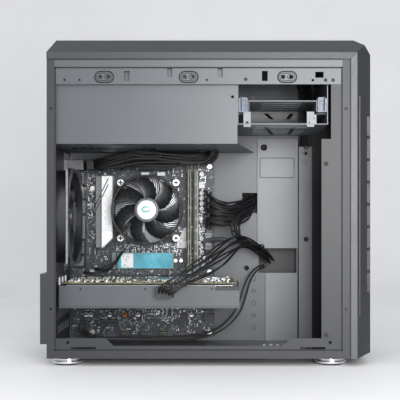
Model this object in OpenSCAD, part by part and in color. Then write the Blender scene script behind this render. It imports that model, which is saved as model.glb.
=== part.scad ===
// Desktop computer tower, left side open. Millimetres, +Z up, front towards -Y,
// open side towards -X, origin on the ground under the middle of the outline.

/* [Case] */
// Width over the side panels
case_w = 200; // [198:1:250]
// Depth from the front bezel to the slot hood
case_d = 403; // [396:1:490]
// Height from the ground to the top cover
case_h = 399; // [396:1:480]
// Thickness of the sheet metal
sheet = 1; // [0.8:0.1:1.3]
// Height of the feet
foot_h = 9.5; // [7:0.5:16]
// Outer diameter of a foot
foot_d = 38; // [30:1:46]
// Height of the moulded top cover
cover_h = 27.5; // [24:0.5:36]
// Depth of the moulded front bezel
bezel_d = 28; // [24:1:40]
// How far the slot hood stands out behind the back panel
hood_d = 8; // [6:1:12]
// Thickness of a side panel
panel_t = 2; // [1.6:0.1:3]
// Space behind the motherboard tray for cables
tray_gap = 24; // [20:1:30]
// Width of the recessed inner band of the bottom rail
lip_h = 6; // [4:0.5:9]
// Width of the outer band of the side frame, where the panel lies
band = 9.5; // [8:0.5:11]

/* [Drive bay] */
// Depth of the drive bay from its rear cheek to its front cheek
bay_d = 110; // [106:1:125]
// Length of the sliding drive tray
tray_len = 112; // [90:1:140]

/* [Motherboard] */
// Height of the circuit board
board_h = 244; // [240:1:246]
// Depth of the circuit board
board_d = 196; // [190:1:226]
// Thickness of the circuit board
board_t = 1.6; // [1.2:0.1:2]
// Height of the brass standoffs
standoff_h = 6.4; // [5:0.1:8]

/* [Cooling] */
// Side of the rear fan
fan_size = 120; // [110:1:120]
// Depth of the rear fan
fan_t = 25; // [15:1:28]
// Outer diameter of the processor fan ring
ring_d = 94; // [88:1:96]
// Diameter of the processor fan hub
hub_d = 33; // [28:1:38]
// Number of blades on the processor fan
cpu_blades = 7; // [5:1:9]
// Height of the processor heatsink fins
fin_h = 30; // [20:1:36]

/* [Graphics card] */
// Length of the graphics card
card_l = 224; // [210:1:240]
// Depth of the graphics card's cooler below its board
card_t = 28; // [24:1:34]
// Diameter of a graphics card fan
card_fan_d = 84; // [70:1:88]

/* [Power supply] */
// Length of the power supply
psu_l = 140; // [125:1:160]

/* [Hidden] */
$fn = 48;

gap = 0.3;            // between pieces on different bodies
shaft_r = 1.5;        // fan shafts
bearing_gap = 0.05;   // radial, shaft in bearing

// case planes
front_y = -case_d / 2;
face_y = front_y + bezel_d;
back_y = case_d / 2 - hood_d;
inner_back = back_y - sheet;
floor_z = foot_h;
roof_z = case_h - cover_h;
open_x = -case_w / 2 + panel_t;
side_x = case_w / 2 - panel_t - gap;
tray_x = side_x - tray_gap;
inner_x = open_x + sheet;
lip_x = inner_x + 0.5;       // the inner band lies behind the outer band
top_lip_h = 21;
front_lip_d = 25.5;
gusset_h = 9;

// motherboard
board_x = tray_x - standoff_h - board_t;
board_y1 = inner_back - 4.5;
board_y0 = board_y1 - board_d;
board_z0 = floor_z + 7;
board_z1 = board_z0 + board_h;
slot_pitch = 20.32;
function slot_z(i) = board_z0 + 81.4 - slot_pitch * i;
io_len = 158.75;
io_w = 44.45;
io_x1 = tray_x - standoff_h + 0.7;
io_x0 = io_x1 - io_w;
io_z0 = slot_z(0) + 10.6;
hole_in = 7;          // front mounting holes from the board's edge
board_holes = concat([for (z = [6.6, 89, board_h - 10.2]) [board_y0 + hole_in, board_z0 + z]],
    [for (z = [6.6, 89, 204]) [board_y1 - 28, board_z0 + z]]);

// processor and its cooler
cpu_y = board_y1 - 106.5;
cpu_z = board_z0 + 173.5;
cooler_pitch = 75;
cooler_base = 4;
fins_x = board_x - cooler_base - fin_h;
cpu_fan_t = 18;
cpu_fan_x = fins_x - 2;
boss_h = 20;

// rear fan
fan_x = inner_x + fan_size / 2 + 0.5;
fan_z = board_z0 + 164.5;
fan_hub_d = 40;
fan_hole = fan_size * 0.4375;

// graphics card
card_z = slot_z(0) - 0.8;
card_z0 = card_z - 1.5 - card_t;
card_y1 = inner_back - 8.5;
card_y0 = card_y1 - card_l;
card_x0 = board_x - 132;
card_x1 = board_x - 26;
card_fan_x = (card_x0 + card_x1) / 2;
card_fans = [card_y1 - card_l * 0.27, card_y0 + card_l * 0.24];
skin = 1.8;
fan_room = 12;        // depth of the fans inside the shroud

// power supply
psu_w = 150;
psu_h = 86;
shroud_z = roof_z - 102;
shroud_x = open_x + 6;
shroud_y = inner_back - 229.5;
psu_x1 = tray_x - 2;
psu_x0 = psu_x1 - psu_w;
psu_z0 = shroud_z + sheet;
psu_y0 = inner_back - psu_l;
psu_fan_x = (psu_x0 + psu_x1) / 2;
psu_fan_y = psu_y0 + psu_l / 2;

// drive bay
bay_y1 = shroud_y;
bay_y0 = bay_y1 - bay_d;
bay_z = roof_z - 78.5;
tray_z = bay_z + 28;
clip_w = 12;
clip_h = 17;
clip_l = 42;
drive_holes = [76.6, 61.72];   // underside screws of a 2.5 inch drive

// tray openings and plates, counted from the front face
plate_y1 = face_y + 106.5;
plate_y0 = face_y + 50.5;
cable_z0 = floor_z + 94.5;
cable_z1 = floor_z + 128.5;

module block(x, y, z) {
    translate([x[0], y[0], z[0]]) cube([x[1] - x[0], y[1] - y[0], z[1] - z[0]]);
}
// a flat outline in Y and Z, thickened towards +X
module side_sheet(x, t) {
    translate([x, 0, 0]) rotate([90, 0, 90]) linear_extrude(t) children();
}
// a flat outline in X and Z, thickened towards +Y
module back_sheet(y, t) {
    translate([0, y + t, 0]) rotate([90, 0, 0]) linear_extrude(t) children();
}
module rod_x(x, y, z, d, l) {
    translate([x, y, z]) rotate([0, 90, 0]) cylinder(d = d, h = l);
}
module rod_y(x, y, z, d, l) {
    translate([x, y, z]) rotate([-90, 0, 0]) cylinder(d = d, h = l);
}
module rod_z(x, y, z, d, l) {
    translate([x, y, z]) cylinder(d = d, h = l);
}
// local +Z points out of the open side
module towards_open(x, y, z) {
    translate([x, y, z]) rotate([0, -90, 0]) children();
}
module oval_x(x, y, z, w, h, l) {
    for (s = [-1, 1]) rod_x(x, y + s * (w - h) / 2, z, h, l);
    block([x, x + l], [y - (w - h) / 2, y + (w - h) / 2], [z - h / 2, z + h / 2]);
}
module ring_vent(r, rings, pitch, width) {
    difference() {
        for (i = [0:rings - 1]) difference() {
            circle(r = r - i * pitch);
            circle(r = r - i * pitch - width);
        }
        for (a = [0, 90]) rotate(a + 45) square([2 * r + 2, 4], center = true);
    }
}
module round_square(s, r) {
    square([s, s - 2 * r], center = true);
    square([s - 2 * r, s], center = true);
    for (x = [-1, 1], y = [-1, 1]) translate([x, y] * (s / 2 - r)) circle(r);
}

// ---- fans: frame stands on z = 0 with its struts there, air flows along z ----
module stator(hub_d, h) {
    cylinder(d = hub_d, h = 2.5);
    cylinder(d = hub_d * 0.55, h = h);
}
module bearing_hole(h) {
    translate([0, 0, 1.5]) cylinder(r = shaft_r + bearing_gap, h = h);
}
module struts(n, r0, r1, t) {
    for (i = [0:n - 1]) rotate(i * 360 / n + 45) translate([r0, -1.5, 0]) cube([r1 - r0, 3, t]);
}
module square_fan_frame(size, t, hub_d, bolt) {
    difference() {
        union() {
            difference() {
                union() {
                    linear_extrude(3.5) round_square(size, 6);
                    translate([0, 0, t - 3.5]) linear_extrude(3.5) round_square(size, 6);
                    cylinder(d = size - 3, h = t);
                }
                translate([0, 0, -1]) cylinder(d = size - 6, h = t + 2);
            }
            struts(4, hub_d / 2 - 2, size / 2 - 2, 2);
            stator(hub_d, t * 0.6);
        }
        for (x = [-1, 1], y = [-1, 1]) translate([x * bolt / 2, y * bolt / 2, -1])
            cylinder(d = 4.4, h = t + 2);
        bearing_hole(t);
    }
}
module rotor(tip_d, hub_d, z0, z1, n, pitch) {
    cup_z = z0 + 1;
    cup_top = z1 - 2;
    blade_z = (z0 + z1) / 2;
    chord = 2 * PI * (tip_d + hub_d) / 4 / n * 0.92;
    difference() {
        translate([0, 0, cup_z]) cylinder(d = hub_d, h = z1 - cup_z);
        translate([0, 0, cup_z - 1]) cylinder(d = hub_d - 4, h = cup_top - cup_z + 1);
    }
    translate([0, 0, 2.2]) cylinder(r = shaft_r, h = cup_top - 1.7);
    intersection() {
        for (i = [0:n - 1]) rotate(i * 360 / n) translate([hub_d / 2 - 1.5, 0, blade_z])
            rotate([pitch, 0, 0]) translate([0, -chord / 2, -0.7]) cube([tip_d, chord, 1.4]);
        difference() {
            translate([0, 0, z0]) cylinder(d = tip_d, h = z1 - z0);
            translate([0, 0, z0 - 1]) cylinder(d = hub_d - 2, h = z1 - z0 + 2);
        }
    }
}

// ---- a cord: round tube along points ----
function unit(v) = v / norm(v);
function heading(p, i) = unit(p[min(i + 1, len(p) - 1)] - p[max(i - 1, 0)]);
// a side direction carried along the points without twisting
function carried(p, s, i = 0) = i == len(p) ? [] :
    let (t = heading(p, i), q = unit(s - (s * t) * t)) concat([q], carried(p, q, i + 1));
module cord(p, r, sides = 8) {
    n = len(p);
    start = heading(p, 0);
    side = carried(p, cross(start, abs(start.z) < 0.9 ? [0, 0, 1] : [0, 1, 0]));
    rings = [for (i = [0:n - 1], k = [0:sides - 1]) p[i] + r * (cos(k * 360 / sides) * side[i]
        + sin(k * 360 / sides) * cross(side[i], heading(p, i)))];
    walls = [for (i = [0:n - 2], k = [0:sides - 1]) let (a = i * sides + k,
        b = i * sides + (k + 1) % sides) [b, a, a + sides, b + sides]];
    polyhedron(rings, concat(walls, [[for (k = [0:sides - 1]) k]],
        [[for (k = [sides - 1:-1:0]) (n - 1) * sides + k]]), convexity = 6);
}

// ---- chassis ----
module base_pan() {
    color("#6f7276") difference() {
        block([inner_x, side_x - sheet], [face_y + sheet, inner_back], [floor_z, floor_z + sheet]);
        for (i = [0:7]) block([-40, 40], [face_y + 34 + i * 9, face_y + 38 + i * 9],
            [floor_z - 1, floor_z + sheet + 1]);
        for (p = foot_places) rod_z(p.x, p.y, floor_z - 1, 4.2, sheet + 2);
    }
}
rail_y0 = face_y + band;
rail_y1 = back_y - band;
module bottom_rails() {
    color("#5c5f62") {
        difference() {
            union() {
                block([open_x, inner_x], [rail_y0, rail_y1], [floor_z, floor_z + band]);
                side_sheet(open_x + 0.5, sheet) polygon([
                    [rail_y0, floor_z + band - 1], [rail_y1, floor_z + band - 1],
                    [rail_y1, floor_z + band + lip_h + gusset_h],
                    [rail_y1 - 62, floor_z + band + lip_h + gusset_h],
                    [rail_y1 - 71, floor_z + band + lip_h], [rail_y0 + 72, floor_z + band + lip_h],
                    [rail_y0 + 63, floor_z + band + lip_h + gusset_h],
                    [rail_y0, floor_z + band + lip_h + gusset_h]]);
            }
            for (y = [rail_y1 - 35, rail_y0 + 36]) block([open_x - 1, inner_x + 2],
                [y - 15, y + 15], [floor_z + band + 0.5, floor_z + band + 4.5]);
            for (y = [rail_y1 - 16, rail_y0 + 15])
                rod_x(open_x - 1, y, floor_z + band + lip_h + 4, 3.6, 4);
        }
        block([side_x - sheet, side_x], [rail_y0, rail_y1], [floor_z, floor_z + band + lip_h]);
    }
}
module rear_rails() {
    color("#4d4f52") for (x = [open_x, side_x - sheet]) difference() {
        block([x, x + sheet], [rail_y1, inner_back], [floor_z, roof_z]);
        for (z = [floor_z + 60, roof_z - 60]) rod_x(x - 1, rail_y1 + 4.5, z, 3, sheet + 2);
    }
}
module top_rails() {
    z1 = roof_z - sheet;
    z0 = roof_z - band;
    zl = z0 - top_lip_h;
    zo = zl + top_lip_h * 0.42;
    color("#595c5f") {
        difference() {
            union() {
                block([open_x, inner_x], [rail_y0, rail_y1], [z0, z1]);
                block([open_x + 0.5, lip_x + sheet - 0.5], [rail_y0, rail_y1], [zl, z0 + 1]);
                for (y = [rail_y1 - 60, rail_y1 - 162, rail_y0 + 67])
                    oval_x(open_x, y, zo, 22, 12.6, sheet);
            }
            for (y = [rail_y1 - 60, rail_y1 - 162, rail_y0 + 67]) {
                rod_x(open_x - 1, y - 5, zo, 5, 4);
                rod_x(open_x - 1, y + 5, zo, 5, 4);
            }
            for (y = [rail_y1 - 12, rail_y1 - 30, rail_y1 - 184, rail_y0 + 36])
                rod_x(open_x - 1, y, zl + 5, 3, 4);
            for (y = [rail_y1 - 87, rail_y0 + 94]) block([open_x - 1, inner_x + 2],
                [y - 3.4, y + 3.4], [zl + 4, zl + 16]);
            for (y = [rail_y1 - 139, rail_y1 - 200]) block([open_x - 1, inner_x + 2],
                [y - 3, y + 3], [zl + 9, zl + 20]);
            block([open_x - 1, inner_x + 2], [rail_y0 + 23, rail_y0 + 33], [zl + 8, zl + 15]);
        }
        block([side_x - sheet, side_x], [rail_y0, rail_y1], [z0 - 4, z1]);
    }
}
module front_rails() {
    low = floor_z + band + lip_h;
    wide_z = bay_z - 18;
    color("#66696c") {
        difference() {
            union() {
                block([open_x, inner_x], [face_y + sheet, rail_y0], [floor_z, roof_z]);
                block([open_x + 0.5, lip_x + sheet - 0.5], [rail_y0 - 1, rail_y0 + front_lip_d],
                    [low + gusset_h, wide_z]);
                block([open_x + 0.5, lip_x + sheet - 0.5], [rail_y0 - 1, rail_y0 + 14],
                    [wide_z - 1, roof_z - band - top_lip_h]);
            }
            for (z = [wide_z - 30, low + 12]) rod_x(open_x - 1, rail_y0 + 20, z, 3.2, 4);
            for (z = [floor_z + 60, roof_z - 60]) rod_x(open_x - 1, face_y + 5.5, z, 3, 4);
        }
        block([side_x - sheet, side_x], [face_y + sheet, rail_y0], [floor_z, roof_z]);
    }
}
hood_z0 = slot_z(3) - 10;
hood_z1 = slot_z(0) + 14;
hood_x1 = board_x - 104;
screw_x = side_x + gap - 10;
panel_screws = [fan_z - fan_size / 2 - 3.6, roof_z - 40];
vent_x0 = board_x - 98;
module rear_panel() {
    color("#55585b") {
        back_sheet(inner_back, sheet) difference() {
            translate([inner_x, floor_z]) square([side_x - sheet - inner_x, roof_z - floor_z]);
            translate([io_x0, io_z0]) square([io_w, io_len]);
            translate([fan_x, fan_z]) {
                ring_vent(fan_hole, 5, 10, 7);
                for (x = [-1, 1], y = [-1, 1]) translate([x, y] * 52.5) circle(d = 4.4);
            }
            translate([psu_x0 + 5, psu_z0 + 5]) square([psu_w - 10, psu_h - 10]);
            for (i = [0:3]) translate([vent_x0, slot_z(i) - 6.2]) square([92, 12.4]);
            for (x = [-1, 1], z = panel_screws) translate([x * screw_x, z]) circle(d = 3.5);
            translate([inner_x + 5, hood_z0 + 3]) square([hood_x1 - inner_x - 10,
                hood_z1 - hood_z0 - 6]);
        }
        difference() {
            block([open_x, hood_x1], [back_y, back_y + hood_d], [hood_z0, hood_z1]);
            block([open_x + 1, hood_x1 - 1], [back_y - 1, back_y + hood_d - 1],
                [hood_z0 + 1, hood_z1 - 1]);
        }
        for (x = [open_x, side_x - sheet])
            block([x, x + sheet], [inner_back, back_y], [floor_z, roof_z]);
    }
}
module roof_panel() {
    color("#6b6e72") difference() {
        block([inner_x, side_x - sheet], [face_y + sheet, inner_back], [roof_z - sheet, roof_z]);
        for (y = [face_y + 60, inner_back - 90]) rod_z(0, y, roof_z - 3, 20, 5);
    }
}
module front_panel() {
    color("#5a5d60") back_sheet(face_y, sheet) difference() {
        translate([open_x, floor_z]) square([side_x - open_x, roof_z - floor_z]);
        for (z = [floor_z + 80, floor_z + 215]) translate([0, z]) {
            ring_vent(56, 5, 10, 7);
            for (x = [-1, 1], y = [-1, 1]) translate([x, y] * 52.5) circle(d = 4.4);
        }
        for (x = bezel_pegs.x, z = bezel_pegs.y) translate([x, z]) circle(d = 7);
    }
}
bezel_pegs = [[open_x + 17, side_x - 17], [floor_z + 20, roof_z - 22]];
module motherboard_tray() {
    color("#8d9093") side_sheet(tray_x, sheet) difference() {
        translate([plate_y0, floor_z + sheet])
            square([inner_back - plate_y0, roof_z - floor_z - 2 * sheet]);
        // behind the processor
        translate([cpu_y - 60, cpu_z - 55]) square([120, 110]);
        // cable ways beside the board
        translate([plate_y0 + 2, cable_z0]) square([plate_y1 - plate_y0 - 4, cable_z1 - cable_z0]);
        translate([board_y0 - 60, board_z0 + 170]) square([22, 28]);
        translate([board_y0 - 20, board_z1 + 12]) square([62, 22]);
        for (z = [board_z0 + 94, board_z1 + 46]) translate([board_y0 - 44, z]) circle(d = 7);
        for (p = board_holes) translate(p) circle(d = 3.4);
    }
}
module tray_plates() {
    color("#b4b6b9") {
        side_sheet(tray_x - 3, 3) difference() {
            translate([plate_y0, cable_z1]) square([plate_y1 - plate_y0, bay_z - cable_z1 - 4]);
            translate([plate_y1 - 9, bay_z - 16]) circle(d = 8);
            translate([plate_y0 + 5, bay_z - 58]) difference() {
                square([48, 28]);
                translate([1, 1]) square([46, 26]);
            }
        }
        side_sheet(tray_x - 3, 3) translate([plate_y0 + 1, floor_z + sheet])
            square([plate_y1 - plate_y0 - 12, cable_z0 - floor_z - sheet]);
        side_sheet(tray_x - 6, 7) difference() {
            translate([plate_y0 - 19, floor_z + sheet]) square([18, bay_z - floor_z - 16]);
            for (z = [bay_z - 24, cable_z1 + 12]) translate([plate_y0 - 11, z]) circle(d = 4);
            for (a = [0:90:270]) translate([plate_y0 - 9.5, bay_z - 36]) rotate(a)
                translate([3, 0]) circle(d = 1.6);
        }
    }
}
module psu_shroud() {
    slant = 25;
    color("#8b8e91") {
        difference() {
            block([shroud_x, shroud_x + sheet], [shroud_y, inner_back], [shroud_z, roof_z - sheet]);
            rod_x(shroud_x - 1, shroud_y + 6, shroud_z + 57, 3.4, 4);
        }
        translate([0, 0, shroud_z]) linear_extrude(sheet) difference() {
            polygon([[shroud_x, inner_back], [shroud_x, shroud_y],
                [tray_x, shroud_y - slant], [tray_x, inner_back]]);
            translate([psu_fan_x, psu_fan_y]) ring_vent(55, 5, 10, 7);
            // way down for the processor's lead
            translate([board_x - 38, shroud_y + 20]) square([22, 26]);
        }
    }
}
module slanted_slots(n, y0, y1, w) {
    for (i = [0:n - 1]) translate([shroud_x + 14 + i * 22, y0]) polygon([[0, 0], [w, 0],
        [w + 10, y1 - y0], [10, y1 - y0]]);
}
module drive_cage() {
    ledge_z = tray_z - clip_h + 4 - gap - sheet;
    color("#54575a") {
        translate([0, 0, bay_z]) linear_extrude(sheet) difference() {
            translate([shroud_x, bay_y0]) square([tray_x - shroud_x, bay_d]);
            slanted_slots(6, bay_y0 + 22, bay_y1 - 22, 7);
        }
        for (y = [bay_y0, bay_y1 - sheet]) difference() {
            block([shroud_x + sheet, tray_x], [y, y + sheet], [bay_z + sheet, roof_z - sheet]);
            for (x = [shroud_x + 40, shroud_x + 100]) rod_y(x, y - 1, tray_z - 4, 14, sheet + 2);
        }
        for (y = [bay_y0 + sheet, bay_y1 - sheet - clip_w]) block([shroud_x + 12, tray_x],
            [y, y + clip_w], [ledge_z, ledge_z + sheet]);
        difference() {
            block([shroud_x, shroud_x + sheet], [bay_y0 + 14, bay_y0 + 22],
                [bay_z + sheet, bay_z + 12]);
            rod_x(shroud_x - 1, bay_y0 + 18, bay_z + 7, 3.4, 4);
        }
    }
}
module drive_tray() {
    y0 = bay_y0 + sheet + gap + clip_w;
    y1 = bay_y1 - sheet - gap - clip_w;
    color("#3f4245") {
        translate([0, 0, tray_z]) linear_extrude(sheet) difference() {
            translate([shroud_x, y0]) square([tray_len, y1 - y0]);
            slanted_slots(4, y0 + 17, y1 - 17, 6);
            for (x = [0, 1], y = [-1, 1]) translate([shroud_x + 14 + x * drive_holes.x,
                (y0 + y1) / 2 + y * drive_holes.y / 2]) circle(d = 3.4);
        }
        for (y = [y0, y1 - sheet]) difference() {
            block([shroud_x, shroud_x + tray_len], [y, y + sheet], [tray_z - 12, tray_z]);
            for (x = [16, 57, 98]) rod_y(shroud_x + x, y - 1, tray_z - 6, 3.2, sheet + 2);
        }
    }
}
module drive_clips() {
    y0 = bay_y0 + sheet + gap;
    y1 = bay_y1 - sheet - gap - clip_w;
    z0 = tray_z - clip_h + 4;
    for (y = [y0, y1]) {
        color("#3d4f66") difference() {
            block([shroud_x, shroud_x + clip_l], [y, y + clip_w], [z0, z0 + clip_h]);
            block([shroud_x + 4, shroud_x + clip_l - 4], [y - 1, y + clip_w + 1],
                [z0 + 6, z0 + clip_h - 6]);
            block([shroud_x - 1, shroud_x + 2], [y + 3, y + clip_w - 3], [z0 + 3, z0 + clip_h - 3]);
        }
        color("#d8dade") block([shroud_x + 6, shroud_x + 16], [y + 2, y + clip_w - 2],
            [z0 + clip_h, z0 + clip_h + 2]);
    }
}

// ---- top cover and bezel: bevelled mouldings that meet on a mitre ----
near_band = 8;        // plain band along the lower edge of the cover
bevel_w = 30;
nose_a = [9.5, 7.5];      // front corner chamfers, back and down
nose_b = [21, 18];
half_w = case_w / 2;
module bezel_plan(inset) {
    polygon([[-half_w + inset, face_y], [-half_w + inset, front_y + 20 + inset / 3],
        [-half_w + bevel_w, front_y + inset], [half_w - bevel_w, front_y + inset],
        [half_w - inset, front_y + 20 + inset / 3], [half_w - inset, face_y]]);
}
module shell_block(inset) {
    // the outline of cover and bezel together, drawn in by inset
    intersection() {
        translate([0, back_y + 1, 0]) rotate([90, 0, 0])
            linear_extrude(case_d + 2) offset_section(inset);
        side_sheet(-half_w, case_w) offset_front(inset);
    }
}
module offset_section(t) {
    polygon([[-half_w + t, roof_z - 1], [-half_w + t, roof_z + near_band - t / 3],
        [-half_w + bevel_w, case_h - t], [half_w - bevel_w, case_h - t],
        [half_w - t, roof_z + near_band - t / 3], [half_w - t, roof_z - 1]]);
}
module offset_front(t) {
    polygon([[back_y - t, roof_z], [back_y - t, roof_z + near_band - t / 3],
        [back_y - 7, case_h - t], [front_y + nose_b.x, case_h - t],
        [front_y + nose_a.x + t / 2, case_h - nose_a.y - t / 2],
        [front_y + t, case_h - nose_b.y], [front_y + t, roof_z]]);
}
wall = 2.5;
port_y = face_y + 24;
module cover_ports_cut() {
    rod_z(-40, port_y, case_h - 8, 16 + 2 * gap, 20);
    rod_z(-62, port_y, case_h - 8, 6 + 2 * gap, 20);
    block([-26, 52], [port_y - 9, port_y + 9], [case_h - 8, case_h + 1]);
}
module top_cover() {
    color("#606366") {
        difference() {
            intersection() {
                shell_block(0);
                bezel_side(false);
            }
            intersection() {
                shell_block(wall);
                translate([0, wall, -wall]) bezel_side(false);
            }
            cover_ports_cut();
        }
        // guide tubes for the two buttons
        for (p = [[-40, 18.6], [-62, 8.6]]) difference() {
            rod_z(p.x, port_y, roof_z + 8, p.y + 2, case_h - wall - roof_z - 8);
            rod_z(p.x, port_y, roof_z + 7, p.y - 2, case_h);
        }
    }
}
// the half space in front of, or behind, the mitre plane
module bezel_side(front) {
    far = 900;
    side_sheet(-half_w - 1, case_w + 2) polygon(front
        ? [[face_y, roof_z - far], [face_y, roof_z], [face_y - far, roof_z + far],
            [face_y - far, roof_z - far]]
        : [[face_y + gap, roof_z], [back_y + 1, roof_z], [back_y + 1, roof_z + far],
            [face_y - far + gap, roof_z + far]]);
}
bezel_z0 = floor_z;
module front_solid(inset) {
    intersection() {
        translate([0, 0, bezel_z0 + inset]) linear_extrude(case_h) bezel_plan(inset);
        side_sheet(-half_w, case_w) polygon([[face_y - gap, bezel_z0], [front_y + 20, bezel_z0],
            [front_y, bezel_z0 + 4], [front_y, case_h - nose_b.y],
            [front_y + nose_a.x, case_h - nose_a.y], [front_y + nose_b.x, case_h],
            [face_y - gap, case_h]]);
        union() {
            block([-half_w, half_w], [front_y, face_y], [bezel_z0, roof_z]);
            shell_block(inset);
        }
    }
}
vent_z0 = floor_z + 50;
vent_z1 = roof_z - 44;
module front_bezel() {
    bars = 8;
    pitch = 27.6;
    color("#45484b") difference() {
        union() {
            difference() {
                intersection() {
                    front_solid(0);
                    bezel_side(true);
                }
                translate([0, 1.5, 0]) intersection() {
                    front_solid(wall);
                    translate([0, -wall, -wall]) bezel_side(true);
                }
                block([-half_w + 12, half_w - 12], [face_y - 9, face_y + 3],
                    [bezel_z0 + 8, roof_z - 8]);
            }
            for (x = bezel_pegs.x, z = bezel_pegs.y) {
                rod_y(x, face_y - 8, z, 6, 8 + sheet + 4);
                block([x < 0 ? -half_w + 1 : x - 4, x < 0 ? x + 4 : half_w - 1],
                    [face_y - 8, face_y - 3], [z - 5, z + 5]);
            }
        }
        // long vent and the row of short vents down both bevels
        for (s = [-1, 1]) {
            block([s * (half_w - 4) - 3, s * (half_w - 4) + 3], [face_y - 13.5, face_y - 11],
                [vent_z0, vent_z1]);
            for (i = [0:bars - 1]) translate([s * (half_w - 26), 0, vent_z0 + 28 + i * pitch])
                block([-3.5, 3.5], [front_y - 1, face_y - 7], [0, pitch - 3]);
        }
    }
}
module dust_filter() {
    y = face_y - 6.5;
    x0 = bezel_pegs.x[0] + 4;
    x1 = bezel_pegs.x[1] - 4;
    color("#1d1e20") difference() {
        block([x0, x1], [y - 2.4, y], [bezel_z0 + 12, roof_z - 12]);
        for (i = [0:3], j = [0:8]) block([x0 + 6 + i * (x1 - x0 - 8) / 4,
            x0 + 4 + (i + 1) * (x1 - x0 - 8) / 4],
            [y - 3, y - 1], [bezel_z0 + 17 + j * 37, bezel_z0 + 50 + j * 37]);
    }
}
module power_button() {
    color("#2b2d30") {
        rod_z(-40, port_y, case_h - 12, 16, 12.4);
        rod_z(-40, port_y, roof_z + 13, 10, case_h - 12 - roof_z - 13);
    }
}
module reset_button() {
    color("#2b2d30") {
        rod_z(-62, port_y, case_h - 10, 6, 10.2);
        rod_z(-62, port_y, roof_z + 13, 4, case_h - 10 - roof_z - 13);
    }
}
module front_ports() {
    color("#232527") difference() {
        block([-26, 52], [port_y - 9, port_y + 9], [case_h - 12, case_h - 0.4]);
        for (x = [-16, 4]) block([x, x + 13.4], [port_y - 3.2, port_y + 3.2],
            [case_h - 11, case_h + 1]);
        for (x = [30, 43]) rod_z(x, port_y, case_h - 11, 3.6, 12);
    }
    color("#2d5fb0") for (x = [-16, 4]) block([x + 0.6, x + 12.8], [port_y - 1, port_y + 1],
        [case_h - 11, case_h - 2]);
}
module right_side_panel() {
    x0 = side_x + gap;
    color("#505356") {
        block([x0, case_w / 2], [face_y + gap, back_y + 2], [floor_z + gap, roof_z - gap]);
        difference() {
            block([x0 - 17, x0 + 1], [back_y + gap, back_y + 2], [floor_z + 20, roof_z - 20]);
            for (z = panel_screws) rod_y(screw_x, back_y - 1, z, 3.3, 4);
        }
    }
}
module thumb_screws() {
    color("#3a3c3f") for (z = panel_screws) {
        rod_y(screw_x, back_y + 2, z, 11, hood_d - 2);
        rod_y(screw_x, inner_back - 2, z, 3.2, back_y + 4 - inner_back);
    }
}
foot_places = [for (x = [-1, 1], y = [face_y + 22, back_y - 22])
    [x * (case_w / 2 - panel_t - foot_d / 2 - 4), y]];
module foot_rings() {
    color("#d9dadc") for (p = foot_places) difference() {
        rod_z(p.x, p.y, 2, foot_d, foot_h - 2);
        rod_z(p.x, p.y, 1, foot_d - 8, foot_h - 4);
        rod_z(p.x, p.y, 1, 4.2, foot_h);
    }
}
module foot_pads() {
    color("#161718") for (p = foot_places) rod_z(p.x, p.y, 0, foot_d - 9, foot_h - 4);
}

// ---- power supply ----
module psu_case() {
    t = 1;
    color("#3c3e41") difference() {
        block([psu_x0, psu_x1], [psu_y0, inner_back], [psu_z0, psu_z0 + psu_h]);
        block([psu_x0 + t, psu_x1 - t], [psu_y0 + t, inner_back - t],
            [psu_z0 + t, psu_z0 + psu_h - t]);
        translate([psu_fan_x, psu_fan_y, psu_z0 - 1]) linear_extrude(t + 2)
            ring_vent(58, 6, 9, 7);
        for (i = [0:8], j = [0:2]) rod_y(psu_x0 + 16 + i * 9, inner_back - 3,
            psu_z0 + 30 + j * 12, 7, 6);
        block(inlet_x, [inner_back - 3, inner_back + 1], inlet_z);
        block(rocker_x, [inner_back - 3, inner_back + 1], inlet_z);
        block([psu_x1 - 54, psu_x1 - 8], [psu_y0 - 1, psu_y0 + 2],
            [psu_z0 + 8, psu_z0 + 36]);
    }
    color("#26282a") difference() {
        union() {
            block([psu_x0 + t, psu_x1 - t], [psu_fan_y - 6, psu_fan_y + 6],
                [psu_z0 + 24, psu_z0 + 26]);
            psu_fan_seat() stator(40, 12);
        }
        psu_fan_seat() bearing_hole(14);
    }
}
module psu_fan_seat() {
    translate([psu_fan_x, psu_fan_y, psu_z0 + 26]) rotate([180, 0, 0]) children();
}
inlet_x = [psu_x1 - 36, psu_x1 - 8];
inlet_z = [psu_z0 + 26, psu_z0 + 50];
rocker_x = [psu_x1 - 56, psu_x1 - 42];
module psu_fan_rotor() {
    color("#1c1d1f") psu_fan_seat() rotor(112, 40, 4, 20, 9, 32);
}
module psu_inlet() {
    color("#141516") difference() {
        block(inlet_x, [inner_back - 22, inner_back + 0.8], inlet_z);
        block([inlet_x[0] + 3, inlet_x[1] - 3], [inner_back - 16, inner_back + 2],
            [inlet_z[0] + 3, inlet_z[1] - 3]);
    }
    color("#c9b37a") for (x = [-7, 0, 7]) block([(inlet_x[0] + inlet_x[1]) / 2 + x - 1,
        (inlet_x[0] + inlet_x[1]) / 2 + x + 1], [inner_back - 17, inner_back - 4],
        [inlet_z[0] + 10 + (x == 0 ? 3 : -2), inlet_z[0] + 14 + (x == 0 ? 3 : -2)]);
    color("#1f2022") difference() {
        block(rocker_x, [inner_back - 12, inner_back + 0.8], inlet_z);
        rod_x(rocker_x[0] + 1.6, rocker_mid.y, rocker_mid.z, 16, 10.8);
        block([rocker_x[0] + 1.6, rocker_x[1] - 1.6], [rocker_mid.y, inner_back + 2],
            [rocker_mid.z - 8, rocker_mid.z + 8]);
        rod_x(rocker_x[0] + 0.4, rocker_mid.y, rocker_mid.z, 2.1, rocker_x[1] - rocker_x[0] - 0.8);
    }
}
rocker_mid = [(rocker_x[0] + rocker_x[1]) / 2, inner_back - 3, (inlet_z[0] + inlet_z[1]) / 2];
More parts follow.
